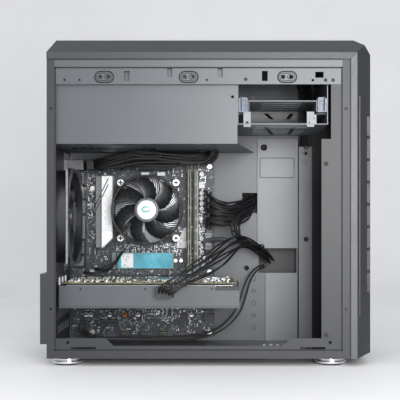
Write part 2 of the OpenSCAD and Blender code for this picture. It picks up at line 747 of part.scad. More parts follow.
module psu_rocker() {
    color("#1a1b1d") intersection() {
        rod_x(rocker_x[0] + 2, rocker_mid.y, rocker_mid.z, 14, 10);
        translate([0, rocker_mid.y, rocker_mid.z]) rotate([-8, 0, 0])
            block([rocker_x[0] + 2, rocker_x[1] - 2], [-7, 4], [-7, 7]);
    }
    color("#1a1b1d") rod_x(rocker_x[0] + 0.6, rocker_mid.y, rocker_mid.z, 2,
        rocker_x[1] - rocker_x[0] - 1.2);
}

// ---- motherboard ----
module on_board(y, z, h) {
    block([board_x - h, board_x], y, z);
}
module motherboard() {
    corner = 12;
    color("#16262e") side_sheet(board_x, board_t) difference() {
        union() {
            translate([board_y0, board_z0]) square([board_d, board_h - corner]);
            translate([board_y0 + corner, board_z0]) square([board_d - corner, board_h]);
            translate([board_y0 + corner, board_z1 - corner]) circle(corner);
        }
        for (p = board_holes) translate(p) circle(d = 4);
    }
}
module standoffs() {
    color("#c9a44a") for (p = board_holes) difference() {
        rod_x(board_x + board_t, p.x, p.y, 5.5, standoff_h);
        rod_x(board_x + board_t - 1, p.x, p.y, 3, standoff_h - 1);
    }
}
vrm_y = [board_y1 - 58.5, board_y1 - 35];
vrm_z = [board_z0 + 123, board_z0 + 220];
chip_y = [board_y0 + 36, board_y0 + 64];
chip_z = [board_z0 + 40, board_z0 + 66];
module board_heatsinks() {
    color("#e4e6ea") towards_open(board_x - 3, 0, 0) difference() {
        translate([vrm_z[0], vrm_y[0], 0]) cube([vrm_z[1] - vrm_z[0], vrm_y[1] - vrm_y[0], 25]);
        translate([vrm_z[0] - 1, vrm_y[1] - 8, 19]) cube([200, 9, 7]);
        for (i = [0:11]) translate([vrm_z[0] + 6 + i * 8, vrm_y[1] - 15, -1])
            cube([3, 16, 14]);
        translate([vrm_z[0], vrm_y[0], -1]) rotate(-45) cube([18, 30, 40], center = true);
    }
    color("#30353c") difference() {
        on_board(chip_y, chip_z, 9);
        for (i = [0:3]) block([board_x - 10, board_x - 4], [chip_y[0] + 4 + i * 6,
            chip_y[0] + 7 + i * 6], [chip_z[0] - 1, chip_z[1] + 1]);
    }
}
// each connector on the back edge: height up the edge, length, stand-off from the board
io_parts = [[7, 13, 30], [24, 15, 27], [43, 31, 16], [78, 16, 15], [98, 15, 29], [117, 15, 29],
    [136, 13, 33]];
module io_ports() {
    color("#b9bcc0") for (p = io_parts) {
        z0 = io_z0 + p[0];
        difference() {
            on_board([board_y1 - 20, back_y - 0.2], [z0, z0 + p[1]], p[2]);
            block([board_x - p[2] + 2, board_x - 3], [back_y - 12, back_y + 1],
                [z0 + 2, z0 + p[1] - 2]);
        }
        block([board_x - p[2] / 2 - 1, board_x - p[2] / 2 + 1], [back_y - 13, back_y - 3],
            [z0 + 3, z0 + p[1] - 3]);
    }
}
module io_shield() {
    fit = 0.2;
    color("#c9cccf") back_sheet(back_y - 0.8, 0.6) difference() {
        translate([io_x0 + fit, io_z0 + fit]) square([io_w - 2 * fit, io_len - 2 * fit]);
        for (p = io_parts) translate([board_x - p[2] - fit, io_z0 + p[0] - fit])
            square([p[2] + 2 * fit, p[1] + 2 * fit]);
    }
}
mem_pitch = 9;
mem_y = [board_y0 + 34.9, board_y0 + 34.9 - mem_pitch];
mem_z0 = board_z0 + 93;
mem_len = 136.7;
mem_pivot_z = mem_z0 + mem_len + 3.8;
mem_pivot_x = board_x - 5;
module memory_slots() {
    color("#c8cacc") for (y = mem_y) {
        difference() {
            on_board([y - 3.2, y + 3.2], [mem_z0, mem_z0 + mem_len], 9);
            block([board_x - 10, board_x - 3], [y - 0.8, y + 0.8],
                [mem_z0 + 2.5, mem_z0 + mem_len - 0.4]);
        }
        on_board([y - 3.2, y + 3.2], [mem_z0 - 6, mem_z0], 14);
        difference() {
            union() {
                on_board([y - 4.2, y - 3.2], [mem_z0 + mem_len - 4, mem_pivot_z + 4], 12);
                on_board([y + 3.2, y + 4.2], [mem_z0 + mem_len - 4, mem_pivot_z + 4], 12);
            }
            rod_y(mem_pivot_x, y - 5, mem_pivot_z, 2.1, 10);
        }
    }
}
module memory_latch(y) {
    z = mem_pivot_z;
    color("#3d4046") {
        rod_y(mem_pivot_x, y - 2.9, z, 6, 5.8);
        rod_y(mem_pivot_x, y - 4, z, 2, 8);
        block([mem_pivot_x - 13, mem_pivot_x], [y - 2.6, y + 2.6], [z - 2, z + 2]);
        block([mem_pivot_x - 13, mem_pivot_x - 9.5], [y - 2.6, y + 2.6], [z - 3.8, z - 1.9]);
    }
}
module memory_modules() {
    z = [mem_z0 + 2.7, mem_z0 + mem_len - 0.6];
    for (y = mem_y) {
        color("#20352c") block([board_x - 34.5, board_x - 3.2], [y - 0.6, y + 0.6], z);
        color("#1a1b1c") for (i = [0:7], s = [-1, 1]) block([board_x - 28, board_x - 16],
            [y + s * 1.1 - 0.5, y + s * 1.1 + 0.5], [z[0] + 7 + i * 15.6, z[0] + 18 + i * 15.6]);
    }
}
pcie_y = [board_y0 + 68, board_y0 + 157];
module pcie_slots() {
    color("#2a2c2f") {
        difference() {
            on_board(pcie_y, [slot_z(0) - 3.6, slot_z(0) + 3.6], 11);
            block([board_x - 12, board_x - 3.5], [pcie_y[0] + 2, pcie_y[1] - 2],
                [slot_z(0) - 1, slot_z(0) + 1]);
        }
        for (i = [2, 3]) difference() {
            on_board([pcie_y[1] - 25, pcie_y[1]], [slot_z(i) - 3.6, slot_z(i) + 3.6], 11);
            block([board_x - 12, board_x - 3.5], [pcie_y[1] - 23, pcie_y[1] - 2],
                [slot_z(i) - 1, slot_z(i) + 1]);
        }
        for (s = [-1, 1]) difference() {
            on_board([pcie_y[0] - 9, pcie_y[0]], [slot_z(0) + s * 3.1 - 0.5,
                slot_z(0) + s * 3.1 + 0.5], 8);
            rod_z(board_x - 4, pcie_y[0] - 5, slot_z(0) - 5, 2.1, 10);
        }
    }
}
module pcie_latch() {
    x = board_x - 4;
    y = pcie_y[0] - 5;
    color("#3d4046") {
        rod_z(x, y, slot_z(0) - 2.3, 5, 4.6);
        rod_z(x, y, slot_z(0) - 3.4, 2, 6.8);
        block([x - 11, x], [y - 2, y + 1.2], [slot_z(0) - 2.3, slot_z(0) + 2.3]);
    }
}
atx_y = [board_y0 + 2, board_y0 + 13];
atx_z = [board_z0 + 152, board_z0 + 203];
usb_z = [board_z0 + 116, board_z0 + 148];
eps_y = [board_y1 - 45, board_y1 - 24];
eps_z = [board_z1 - 15, board_z1 - 4];
sata_z = board_z0 + 22;
module board_sockets() {
    color("#cfd1d3") difference() {
        on_board(atx_y, atx_z, 12);
        block([board_x - 13, board_x - 3], [atx_y[0] + 1.5, atx_y[1] - 1.5],
            [atx_z[0] + 1.5, atx_z[1] - 1.5]);
    }
    color("#1f2b3a") difference() {
        on_board([atx_y[0] + 1, atx_y[1] - 1], usb_z, 9);
        block([board_x - 10, board_x - 3], [atx_y[0] + 2.2, atx_y[1] - 2.2],
            [usb_z[0] + 1.5, usb_z[1] - 1.5]);
    }
    color("#1c1d1f") on_board(eps_y, eps_z, 12);
    for (i = [0:1]) color("#26282b") on_board([board_y0 + 1, board_y0 + 15],
        [sata_z + i * 14, sata_z + 10 + i * 14], 9);
    color("#d3d4d2") for (p = [[board_y0 + 44, board_z1 - 8], [board_y1 - 70, board_z1 - 8],
        [board_y1 - 30, board_z0 + 104]]) on_board([p.x, p.x + 10], [p.y - 3, p.y + 3], 8);
    color("#8b8e90") on_board([cpu_y - 24, cpu_y + 24], [cpu_z - 24, cpu_z + 24], cooler_base - 1);
    color("#b9bcbe") on_board(m2_y1, [m2_z - 11, m2_z + 11], 5);
    for (i = [0:4]) color("#202225") on_board([board_y0 + 12 + i * 26, board_y0 + 24 + i * 26],
        [board_z0 + 3, board_z0 + 8], 8);
    color("#3b3e42") on_board([board_y0 + 38, board_y0 + 48], [board_z0 + 20, board_z0 + 32], 1.5);
    color("#d2a23e") on_board([board_y1 - 24, board_y1 - 12], [board_z0 + 8, board_z0 + 22], 10);
}
m2_z = board_z0 + 104.7;
m2_y1 = [board_y1 - 62, board_y1 - 54];
module m2_drive() {
    color("#2b9aa8") block([board_x - 4.4, board_x - 3.6], [m2_y1[0] - 78, m2_y1[0]],
        [m2_z - 11, m2_z + 11]);
    color("#202325") for (y = [12, 34, 54]) block([board_x - 5.6, board_x - 4.4],
        [m2_y1[0] - y - 16, m2_y1[0] - y], [m2_z - 9, m2_z + 9]);
}
module cable_plugs() {
    color("#1b1c1e") {
        block([board_x - 29, board_x - 12], [atx_y[0] + 0.5, atx_y[1] - 0.5],
            [atx_z[0] + 0.5, atx_z[1] - 0.5]);
        block([board_x - 22, board_x - 9], [atx_y[0] + 1.5, atx_y[1] - 1.5],
            [usb_z[0] + 1, usb_z[1] - 1]);
        block([board_x - 30, board_x - 12], eps_y, eps_z);
        block([card_x0 - 16, card_x0], card_plug_y, [card_z0 + 14, card_z0 + card_t]);
        on_board_plug([board_y1 - 22, board_y1 - 14], [board_z0 + 10, board_z0 + 20]);
    }
}
module on_board_plug(y, z) {
    block([board_x - 22, board_x - 10], y, z);
}
card_plug_y = [card_y1 - 141, card_y1 - 121];
module board_screws() {
    color("#e2e2e0") {
        for (y = [-1, 1], z = [-1, 1]) translate([0, cpu_y + y * cooler_pitch / 2,
            cpu_z + z * cooler_pitch / 2]) {
            rod_x(board_x - boss_h - 4, 0, 0, 9, 4);
            rod_x(board_x - boss_h, 0, 0, 3.6, boss_h);
        }
        for (p = board_holes) {
            rod_x(board_x - 2.2, p.x, p.y, 6.5, 2.2);
            rod_x(board_x, p.x, p.y, 2.9, 5);
        }
        rod_x(board_x - 6.4, m2_y1[0] - 80.5, m2_z, 5, 6.4);
        rod_x(board_x - 3, m2_y1[0] - 88, m2_z, 5, 3);
    }
}
module capacitor(y, z, d, h) {
    rod_x(board_x - h, y, z, d, h);
    rod_x(board_x - 1.5, y, z, d + 1, 1.5);
}
module board_capacitors() {
    color("#c9ccd0") {
        for (c = [20.5, 27, 53, 73, 91.5, 164.5]) capacitor(board_y1 - c, board_z0 + 31, 6.3, 9);
        for (i = [0:3]) capacitor(board_y0 + 17.5, board_z0 + 186 - i * 7.2, 5, 8);
        for (z = [147, 207]) capacitor(board_y0 + 17.5, board_z0 + z - 8, 6, 8);
        for (i = [0:4]) capacitor(cpu_y + 26 - i * 13, cpu_z + 58, 7, 9);
    }
    color("#6d7073") for (i = [0:4]) on_board([vrm_y[0] - 9, vrm_y[0] - 2],
        [vrm_z[0] + 22 + i * 14, vrm_z[0] + 30 + i * 14], 5);
}
module clock_battery() {
    color("#202224") on_board([board_y0 + 86, board_y0 + 110], [board_z0 + 40, board_z0 + 64], 3);
    color("#d4d6d8") rod_x(board_x - 5.4, board_y0 + 98, board_z0 + 52, 20, 2.4);
}

// ---- processor cooler ----
module cpu_heatsink() {
    fins = 40;
    color("#b9bcbf") towards_open(board_x - cooler_base + 1, cpu_y, cpu_z) {
        cylinder(d = 34, h = fin_h + 1);
        difference() {
            translate([0, 0, 9]) linear_extrude(fin_h - 8) for (i = [0:fins - 1])
                rotate(i * 360 / fins) translate([15, -0.5]) square([ring_d / 2 - 18, 1]);
            for (a = [45:90:315]) rotate(a) translate([cooler_pitch / 2 * sqrt(2), 0, -1])
                cylinder(r = 10, h = fin_h + 4);
        }
    }
}
module cpu_fan_frame() {
    boss_r = cooler_pitch / 2 * sqrt(2);
    color("#1b1c1e") towards_open(cpu_fan_x, cpu_y, cpu_z) difference() {
        union() {
            difference() {
                cylinder(d = ring_d, h = cpu_fan_t, $fn = 96);
                translate([0, 0, -1]) cylinder(d = ring_d - 5, h = cpu_fan_t + 2, $fn = 96);
            }
            struts(4, hub_d / 2 - 2, ring_d / 2 - 1, 2);
            stator(hub_d, cpu_fan_t * 0.6);
            for (a = [45:90:315]) rotate(a) {
                translate([ring_d / 2 - 1.5, -3, 0]) cube([3.5, 6, 8]);
                translate([boss_r - 9, -3, boss_drop]) cube([4, 6, 8 - boss_drop]);
                translate([boss_r - 9, -3, boss_drop]) cube([9, 6, 5]);
                translate([boss_r, 0, boss_drop]) cylinder(d = 9, h = 5);
            }
        }
        for (a = [45:90:315]) rotate(a) translate([boss_r, 0, boss_drop - 1])
            cylinder(d = 4, h = 8);
        bearing_hole(cpu_fan_t);
    }
}
boss_drop = cpu_fan_x - board_x + boss_h - 5;
module cpu_fan_rotor() {
    color("#222426") towards_open(cpu_fan_x, cpu_y, cpu_z)
        rotor(ring_d - 7, hub_d, 3, cpu_fan_t - 0.5, cpu_blades, 35);
}
module rear_fan_frame() {
    color("#2a2c2f") translate([fan_x, inner_back, fan_z]) rotate([90, 0, 0])
        square_fan_frame(fan_size, fan_t, fan_hub_d, 105);
}
module rear_fan_rotor() {
    color("#1c1d1f") translate([fan_x, inner_back, fan_z]) rotate([90, 0, 0])
        rotor(fan_size - 8, fan_hub_d, 4, fan_t - 1, 7, 34);
}

// ---- graphics card ----
module gpu_board() {
    color("#6f7a3e") {
        difference() {
            block([board_x - 118, board_x - 9], [card_y0 + 6, card_y1], [card_z, card_z + 1.6]);
            block([board_x - 22, board_x], [card_y0, pcie_y[0] + 3], [card_z - 1, card_z + 3]);
            block([board_x - 22, board_x], [pcie_y[1] - 2.6, card_y1 + 1],
                [card_z - 1, card_z + 3]);
        }
        block([board_x - 10, board_x - 4], [pcie_y[0] + 3, pcie_y[1] - 2.6],
            [card_z, card_z + 1.6]);
    }
    color("#c3c5c0") for (i = [0:6]) block([board_x - 114, board_x - 106],
        [card_y0 + 36 + i * 18, card_y0 + 44 + i * 18], [card_z + 1.6, card_z + 3.2]);
    color("#8e9193") block([board_x - 90, board_x - 50], [card_y1 - 120, card_y1 - 80],
        [card_z + 1.6, card_z + 3.4]);
}
module card_wells(r) {
    for (y = card_fans) translate([card_fan_x, y, card_z0 - 1])
        cylinder(r = r, h = fan_room + 1.5);
}
module gpu_heatsink() {
    fins = 30;
    x = [card_x0 + 6, card_x1 - 4];
    y = [card_y0 + 8, card_y1 - 8];
    color("#a9acae") {
        block(x, y, [card_z - 4.5, card_z - 1.5]);
        difference() {
            for (i = [0:fins - 1]) block(x, [y[0] + 2 + i * (y[1] - y[0] - 5) / (fins - 1),
                y[0] + 3.2 + i * (y[1] - y[0] - 5) / (fins - 1)], [card_z0 + 4, card_z - 4]);
            card_wells(card_fan_d / 2 + 1);
        }
        for (y = card_fans) difference() {
            union() {
                rod_z(card_fan_x, y, card_z0 + fan_room + 0.5, 30, card_z - card_z0 - fan_room - 3);
                rod_z(card_fan_x, y, card_z0 + 4.5, 12, fan_room);
            }
            rod_z(card_fan_x, y, card_z0 + 3, 2 * (shaft_r + bearing_gap), fan_room + 2);
        }
    }
}
module gpu_shroud() {
    color("#85888b") difference() {
        block([card_x0, card_x1], [card_y0, card_y1], [card_z0, card_z - 1.5]);
        block([card_x0 + skin, card_x1 + 1], [card_y0 + skin, card_y1 - skin],
            [card_z0 + skin, card_z]);
        for (y = card_fans) rod_z(card_fan_x, y, card_z0 - 1, card_fan_d + 2, 4);
        block([card_x0 - 1, card_x0 + 5], [card_plug_y[0] - 1, card_plug_y[1] + 1],
            [card_z0 + 13, card_z]);
        block([card_x0 - 1, card_x0 + 5], [card_y0 - 1, card_y0 + 30], [card_z - 6, card_z]);
    }
}
module card_rotor(y) {
    color("#1b1c1e") translate([card_fan_x, y, card_z0 + fan_room]) rotate([180, 0, 0])
        rotor(card_fan_d, 30, 0, fan_room - 0.6, 9, 30);
}
module slot_covers() {
    y = [inner_back - 1.2, inner_back - 0.2];
    x = [board_x - 112, board_x - 3];
    color("#b5b8bb") difference() {
        block(x, y, [slot_z(1) - 9.2, slot_z(0) + 9.2]);
        for (i = [0:2]) block([x[0] + 22 + i * 24, x[0] + 40 + i * 24],
            [y[0] - 1, y[1] + 1], [slot_z(0) - 5, slot_z(0) + 5]);
        for (i = [0:9]) block([x[0] + 16 + i * 9, x[0] + 21 + i * 9], [y[0] - 1, y[1] + 1],
            [slot_z(1) - 5, slot_z(1) + 5]);
    }
    color("#4b4e51") for (i = [2, 3]) difference() {
        block(x, y, [slot_z(i) - 9.2, slot_z(i) + 9.2]);
        for (j = [0:9]) block([x[0] + 16 + j * 9, x[0] + 21 + j * 9], [y[0] - 1, y[1] + 1],
            [slot_z(i) - 5, slot_z(i) + 5]);
    }
}

// ---- rear fan, card and power leads: points chosen along the real routes ----
atx_route = [[54, 58, 292], [55, 46, 291], [59, 34, 290], [66, 20, 288], [74, 8, 284],
    [80, -4, 280], [85, -18, 271], [87, -34, 256], [87, -46, 238], [86, -54, 220],
    [82, -58, 208], [72, -58, 201], [60, -56, 197], [46, -50, 192], [32, -40, 187],
    [22, -28, 184], [16, -14, 186], [20, -3, 190], [28, -0.5, 191], [36.7, -0.5, 191]];
cpu_route = [[40, 58, 292], [40, 48, 292], [40, 36, 292], [40, 22, 292], [40, 8, 292],
    [40, -0.3, 289.8], [40, -6.3, 283.8], [40, -8.5, 275.5], [39, -6.3, 267.3],
    [38, -0.3, 261.2], [36, 8, 259], [34, 20, 258.5], [32, 34, 258.5], [30, 52, 260],
    [28, 72, 262], [26, 96, 262], [26, 118, 258], [27, 134, 254], [30, 144, 252],
    [35.7, 150, 251]];
gpu_route = [[-82.3, 53, 89], [-88, 51, 90], [-91, 44, 94], [-88, 32, 102], [-78, 16, 112],
    [-62, -2, 123], [-42, -18, 134], [-18, -32, 143], [6, -44, 147], [28, -56, 145],
    [46, -68, 138], [60, -78, 130], [72, -84, 124], [82, -86, 122]];
leads_route = [[80, -76, 112], [71, -75, 113], [63, -68, 111], [57, -60, 104], [51, -53, 92],
    [47, -48, 76], [43, -41, 56], [40, -27, 38], [40, -6, 25], [40, 25, 18], [40, 70, 16.5],
    [40, 110, 16.5], [40, 144, 17.5], [42, 160, 22], [44.5, 168, 28], [43.7, 170, 31.5]];
module atx_cable() {
    color("#121314") cord(atx_route, 6.5);
}
module cpu_cable() {
    color("#121314") cord(cpu_route, 4);
}
module gpu_cable() {
    color("#121314") cord(gpu_route, 4.5);
}
module panel_leads() {
    color("#121314") cord(leads_route, 1.6);
}

base_pan();
bottom_rails();
rear_panel();
rear_rails();
roof_panel();
top_rails();
front_panel();
front_rails();
motherboard_tray();
tray_plates();
psu_shroud();
drive_cage();
drive_tray();
drive_clips();
top_cover();
power_button();
reset_button();
front_ports();
front_bezel();
dust_filter();
right_side_panel();
thumb_screws();
foot_rings();
foot_pads();
psu_case();
psu_fan_rotor();
psu_inlet();
psu_rocker();
motherboard();
standoffs();
board_heatsinks();
io_ports();
io_shield();
memory_slots();
memory_latch(mem_y[0]);  // memory_latch_1
memory_latch(mem_y[1]);  // memory_latch_2
memory_modules();
pcie_slots();
pcie_latch();
board_sockets();
cable_plugs();
m2_drive();
board_screws();
board_capacitors();
clock_battery();
cpu_heatsink();
cpu_fan_frame();
cpu_fan_rotor();
rear_fan_frame();
rear_fan_rotor();
gpu_board();
gpu_heatsink();
gpu_shroud();
card_rotor(card_fans[0]);  // gpu_rotor_rear
card_rotor(card_fans[1]);  // gpu_rotor_front
slot_covers();
atx_cable();
cpu_cable();
gpu_cable();
panel_leads();
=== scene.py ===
"""Desktop computer tower with its left side open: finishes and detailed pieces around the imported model.

Lengths are in millimetres until a mesh is made, +Z up, front towards -Y, open side towards -X.
"""

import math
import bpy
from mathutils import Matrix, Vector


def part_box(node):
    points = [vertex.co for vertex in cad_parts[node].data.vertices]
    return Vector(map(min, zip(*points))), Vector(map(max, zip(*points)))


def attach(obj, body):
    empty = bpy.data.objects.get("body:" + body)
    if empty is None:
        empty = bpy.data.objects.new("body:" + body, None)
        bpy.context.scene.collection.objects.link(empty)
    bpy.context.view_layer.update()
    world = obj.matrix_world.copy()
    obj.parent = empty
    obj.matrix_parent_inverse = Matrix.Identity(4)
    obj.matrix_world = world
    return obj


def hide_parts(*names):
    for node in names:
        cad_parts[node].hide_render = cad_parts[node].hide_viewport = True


bl_info = {
    "name": "Desktop Computer Tower",
    "version": (1, 0, 0),
    "blender": (4, 5, 0),
    "location": "3D Viewport > Sidebar > Tower",
    "description": "Builds the fans, leads, board parts and finishes of an open computer tower",
    "category": "Object",
}

import bmesh
import bpy
import numpy as np
from bpy.props import FloatProperty, FloatVectorProperty, IntProperty, PointerProperty
from mathutils import Vector

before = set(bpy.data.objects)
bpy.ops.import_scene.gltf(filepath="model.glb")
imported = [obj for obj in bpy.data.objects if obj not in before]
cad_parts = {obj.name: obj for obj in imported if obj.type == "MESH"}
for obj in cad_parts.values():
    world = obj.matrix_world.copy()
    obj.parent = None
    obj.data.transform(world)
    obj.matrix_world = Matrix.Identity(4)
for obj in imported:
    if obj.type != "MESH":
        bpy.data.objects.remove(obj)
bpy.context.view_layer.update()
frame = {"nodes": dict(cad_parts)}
MM = 0.001
TURN = 2 * math.pi


def span(node):
    """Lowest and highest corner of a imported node, in millimetres."""
    low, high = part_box(node)
    return np.array(low) / MM, np.array(high) / MM


def tint(code):
    """Linear colour of a six figure colour code."""
    parts = [int(code[i : i + 2], 16) / 255 for i in (1, 3, 5)]
    return tuple(p / 12.92 if p < 0.04045 else ((p + 0.055) / 1.055) ** 2.4 for p in parts)


# ---------------------------------------------------------------- surfaces


def quads(rows, cols, wrap_rows=False, wrap_cols=True):
    """Faces of a grid: each point with its neighbours one row and one column further on."""
    r = np.arange(rows if wrap_rows else rows - 1)[:, None]
    c = np.arange(cols if wrap_cols else cols - 1)[None, :]
    below, beside = (r + 1) % rows * cols, (c + 1) % cols
    return np.stack([r * cols + c, r * cols + beside, below + beside, below + c], -1).reshape(-1, 4)


def grid(points, wrap_rows=False, wrap_cols=True):
    """A shape from a grid of points (rows, columns, 3)."""
    points = np.asarray(points, float)
    return points.reshape(-1, 3), quads(points.shape[0], points.shape[1], wrap_rows, wrap_cols)


def joined(shapes):
    """Several shapes as one: their points in a row, each face list shifted by the points before."""
    starts = np.cumsum([0] + [len(s[0]) for s in shapes[:-1]])
    parts = [np.concatenate([s[0] for s in shapes])]
    parts.append(np.concatenate([s[1] + start for s, start in zip(shapes, starts)]))
    if all(len(s) > 2 for s in shapes):
        parts.append(np.concatenate([s[2] for s in shapes]))
    return tuple(parts)


def copies(shape, places, turns=None):
    """The shape once at each place, first turned by that place's own matrix where one is given."""
    points, faces = shape
    places = np.atleast_2d(np.asarray(places, float))
    if turns is None:
        spread = points[None] + places[:, None]
    else:
        spread = np.einsum("kij,nj->kni", np.asarray(turns), points) + places[:, None]
    shift = np.arange(len(places))[:, None, None] * len(points)
    return spread.reshape(-1, 3), (faces[None] + shift).reshape(-1, 4)


def facing(direction):
    """A matrix that carries local +Z to the named axis: '-x', '+y' and so on."""
    sign = -1.0 if direction[0] == "-" else 1.0
    axis = "xyz".index(direction[1])
    z = np.zeros(3)
    z[axis] = sign
    x = np.zeros(3)
    x[(axis + 1) % 3] = 1.0
    return np.stack([x, np.cross(z, x), z], 1)


def placed(shape, place=(0, 0, 0), direction="+z"):
    """The shape turned so that its +Z points along the direction, then moved to its place."""
    points, faces = shape
    return points @ facing(direction).T + np.asarray(place, float), faces


def set_at(shape, places, direction="-x"):
    """The shape at each of the places, its +Z along the direction."""
    return copies(placed(shape, direction=direction), places)


def spin(shape, angles, axis="x", centre=(0, 0, 0)):
    """The shape turned about an axis through the centre by each of the angles."""
    angles = np.atleast_1d(angles)
    a, b = {"x": (1, 2), "y": (2, 0), "z": (0, 1)}[axis]
    turns = np.tile(np.eye(3), (len(angles), 1, 1))
    turns[:, a, a], turns[:, a, b] = np.cos(angles), -np.sin(angles)
    turns[:, b, a], turns[:, b, b] = np.sin(angles), np.cos(angles)
    centre = np.asarray(centre, float)
    return copies((shape[0] - centre, shape[1]), np.tile(centre, (len(angles), 1)), turns)


def turned(profile, sides=32, closed=False):
    """A turned shape about Z: each (radius, height) of the profile goes round a full circle.

    A closed profile runs back to its first point and makes a ring."""
    profile = np.asarray(profile, float)
    a = np.arange(sides) / sides * TURN
    ring = np.stack([np.cos(a), np.sin(a)], -1)
    flat = profile[:, None, :1] * ring[None]
    height = np.broadcast_to(profile[:, None, 1:], (len(profile), sides, 1))
    return grid(np.concatenate([flat, height], -1), wrap_rows=closed)


def _corner_faces():
    """The 26 faces of a box whose every corner is three points, one on each face that meets there."""
    signs = np.array([[x, y, z] for x in (-1, 1) for y in (-1, 1) for z in (-1, 1)])
    index = {tuple(s): i for i, s in enumerate(signs)}
    faces = []
    for a in range(3):
        b, c = (a + 1) % 3, (a + 2) % 3
        for side in (-1, 1):
            loop = []
            for u, v in ((-1, -1), (1, -1), (1, 1), (-1, 1)):
                s = [0, 0, 0]
                s[a], s[b], s[c] = side, u, v
                loop.append(index[tuple(s)] * 3 + a)
            faces.append(loop)
        for u in (-1, 1):
            for v in (-1, 1):
                ends = []
                for w in (-1, 1):
                    s = [0, 0, 0]
                    s[a], s[b], s[c] = w, u, v
                    ends.append(index[tuple(s)] * 3)
                faces.append([ends[0] + b, ends[1] + b, ends[1] + c, ends[0] + c])
    faces += [[i * 3, i * 3 + 1, i * 3 + 2, i * 3 + 2] for i in range(8)]
    return signs, np.array(faces)


CORNER_SIGNS, CORNER_FACES = _corner_faces()


def blocks(lows, highs, bevel=0.3):
    """Boxes with cut edges: a corner point is drawn in by the bevel along both other axes."""
    lows, highs = np.atleast_2d(np.asarray(lows, float)), np.atleast_2d(np.asarray(highs, float))
    lows, highs = np.minimum(lows, highs), np.maximum(lows, highs)
    half = (highs - lows) / 2
    cut = np.minimum(np.asarray(bevel, float), half.min(1) * 0.6)[:, None, None, None]
    draw = CORNER_SIGNS[None, :, None] * (half[:, None, None] - cut * (1 - np.eye(3))[None, None])
    points = draw + ((lows + highs) / 2)[:, None, None]
    shift = np.arange(len(lows))[:, None, None] * 24
    return points.reshape(-1, 3), (CORNER_FACES[None] + shift).reshape(-1, 4)


def along(points, count, closed=False):
    """A smooth line through the points: cubic pieces whose slopes come from both neighbours."""
    p = np.asarray(points, float)
    if closed:
        p = np.concatenate([p[-1:], p, p[:2]])
    else:
        p = np.concatenate([2 * p[:1] - p[1:2], p, 2 * p[-1:] - p[-2:-1]])
    pieces = len(p) - 3
    t = np.linspace(0, pieces, count, endpoint=not closed)
    i = np.minimum(t.astype(int), pieces - 1)
    t = (t - i)[:, None]
    a, b, c, d = p[i], p[i + 1], p[i + 2], p[i + 3]
    return 0.5 * (
        2 * b + (c - a) * t + (2 * a - 5 * b + 4 * c - d) * t**2 + (3 * b - a - 3 * c + d) * t**3
    )


def headings(paths):
    """Unit direction of each path at each of its points, from the points on either side."""
    step = np.gradient(paths, axis=-2)
    return step / np.linalg.norm(step, axis=-1, keepdims=True)


def carried(paths):
    """A side direction at each point, carried along so that it never twists."""
    heading = headings(paths)
    up = np.where(np.abs(heading[:, :1, 2:]) < 0.9, [[[0, 0, 1.0]]], [[[0, 1.0, 0]]])
    side = np.cross(heading[:, 0], up[:, 0])
    sides = []
    for i in range(paths.shape[1]):
        side = side - (side * heading[:, i]).sum(-1, keepdims=True) * heading[:, i]
        side = side / np.linalg.norm(side, axis=-1, keepdims=True)
        sides.append(side)
    sides = np.stack(sides, 1)
    return sides, np.cross(sides, heading)


def tubes(paths, radius, sides=8, flat=1.0):
    """Round tubes: circles across each path, drawn together to a point just past both ends.

    flat squeezes the circle across its second direction. paths is (tubes, points, 3)."""
    paths = np.asarray(paths, float)
    if paths.ndim == 2:
        paths = paths[None]
    side, other = carried(paths)
    a = np.arange(sides) / sides * TURN
    radius = np.broadcast_to(np.asarray(radius, float), paths.shape[:2])[..., None, None]
    across = np.cos(a)[:, None] * side[:, :, None] + flat * np.sin(a)[:, None] * other[:, :, None]
    walls = paths[:, :, None] + radius * across
    ends = [np.repeat(paths[:, [i], None], sides, 2) for i in (0, -1)]
    walls = np.concatenate([ends[0], walls, ends[1]], 1)
    step = np.linalg.norm(np.diff(paths, axis=1), axis=-1)
    length = np.pad(np.cumsum(step, 1), ((0, 0), (2, 1)), mode="edge")
    length[:, :2] = 0
    lay = np.stack(
        np.broadcast_arrays(np.cos(a), np.sin(a), length[..., None]), -1
    ).reshape(len(paths), -1, 3)
    return joined([(*grid(w), l) for w, l in zip(walls, lay)])


def loop_tube(path, radius, sides=8):
    """A round tube along a closed flat path: circles in the plane of the outward and normal directions."""
    path = np.asarray(path, float)
    step = np.roll(path, -1, 0) - np.roll(path, 1, 0)
    step /= np.linalg.norm(step, axis=1, keepdims=True)
    normal = np.linalg.svd(path - path.mean(0))[2][2]
    out = np.cross(step, normal)
    a = np.arange(sides) / sides * TURN
    across = np.cos(a)[:, None] * out[:, None] + np.sin(a)[:, None] * normal
    return grid(path[:, None] + radius * across, wrap_rows=True)


def slab(outline, x0, x1, bevel=0.4):
    """A thick flat piece: an outline in Y and Z, drawn in towards its middle by the bevel at both faces."""
    outline = np.asarray(outline, float)
    middle = outline.mean(0)
    reach = np.linalg.norm(outline - middle, axis=1).max()
    sign = 1.0 if x1 > x0 else -1.0
    levels = [(0, x0), (1 - bevel / reach, x0), (1, x0 + sign * bevel)]
    levels += [(1, x1 - sign * bevel), (1 - bevel / reach, x1), (0, x1)]
    rows = [
        np.concatenate([np.full((len(outline), 1), x), middle + (outline - middle) * share], 1)
        for share, x in levels
    ]
    return grid(np.stack(rows))


def stadium(y, z, width, height, count=24):
    """Outline of an oval with straight sides: two half circles set apart by width less height."""
    a = (np.arange(count) + 0.5) / count * TURN
    lean = np.sign(np.cos(a)) * (width - height) / 2
    return np.stack([y + lean + np.cos(a) * height / 2, z + np.sin(a) * height / 2], 1)


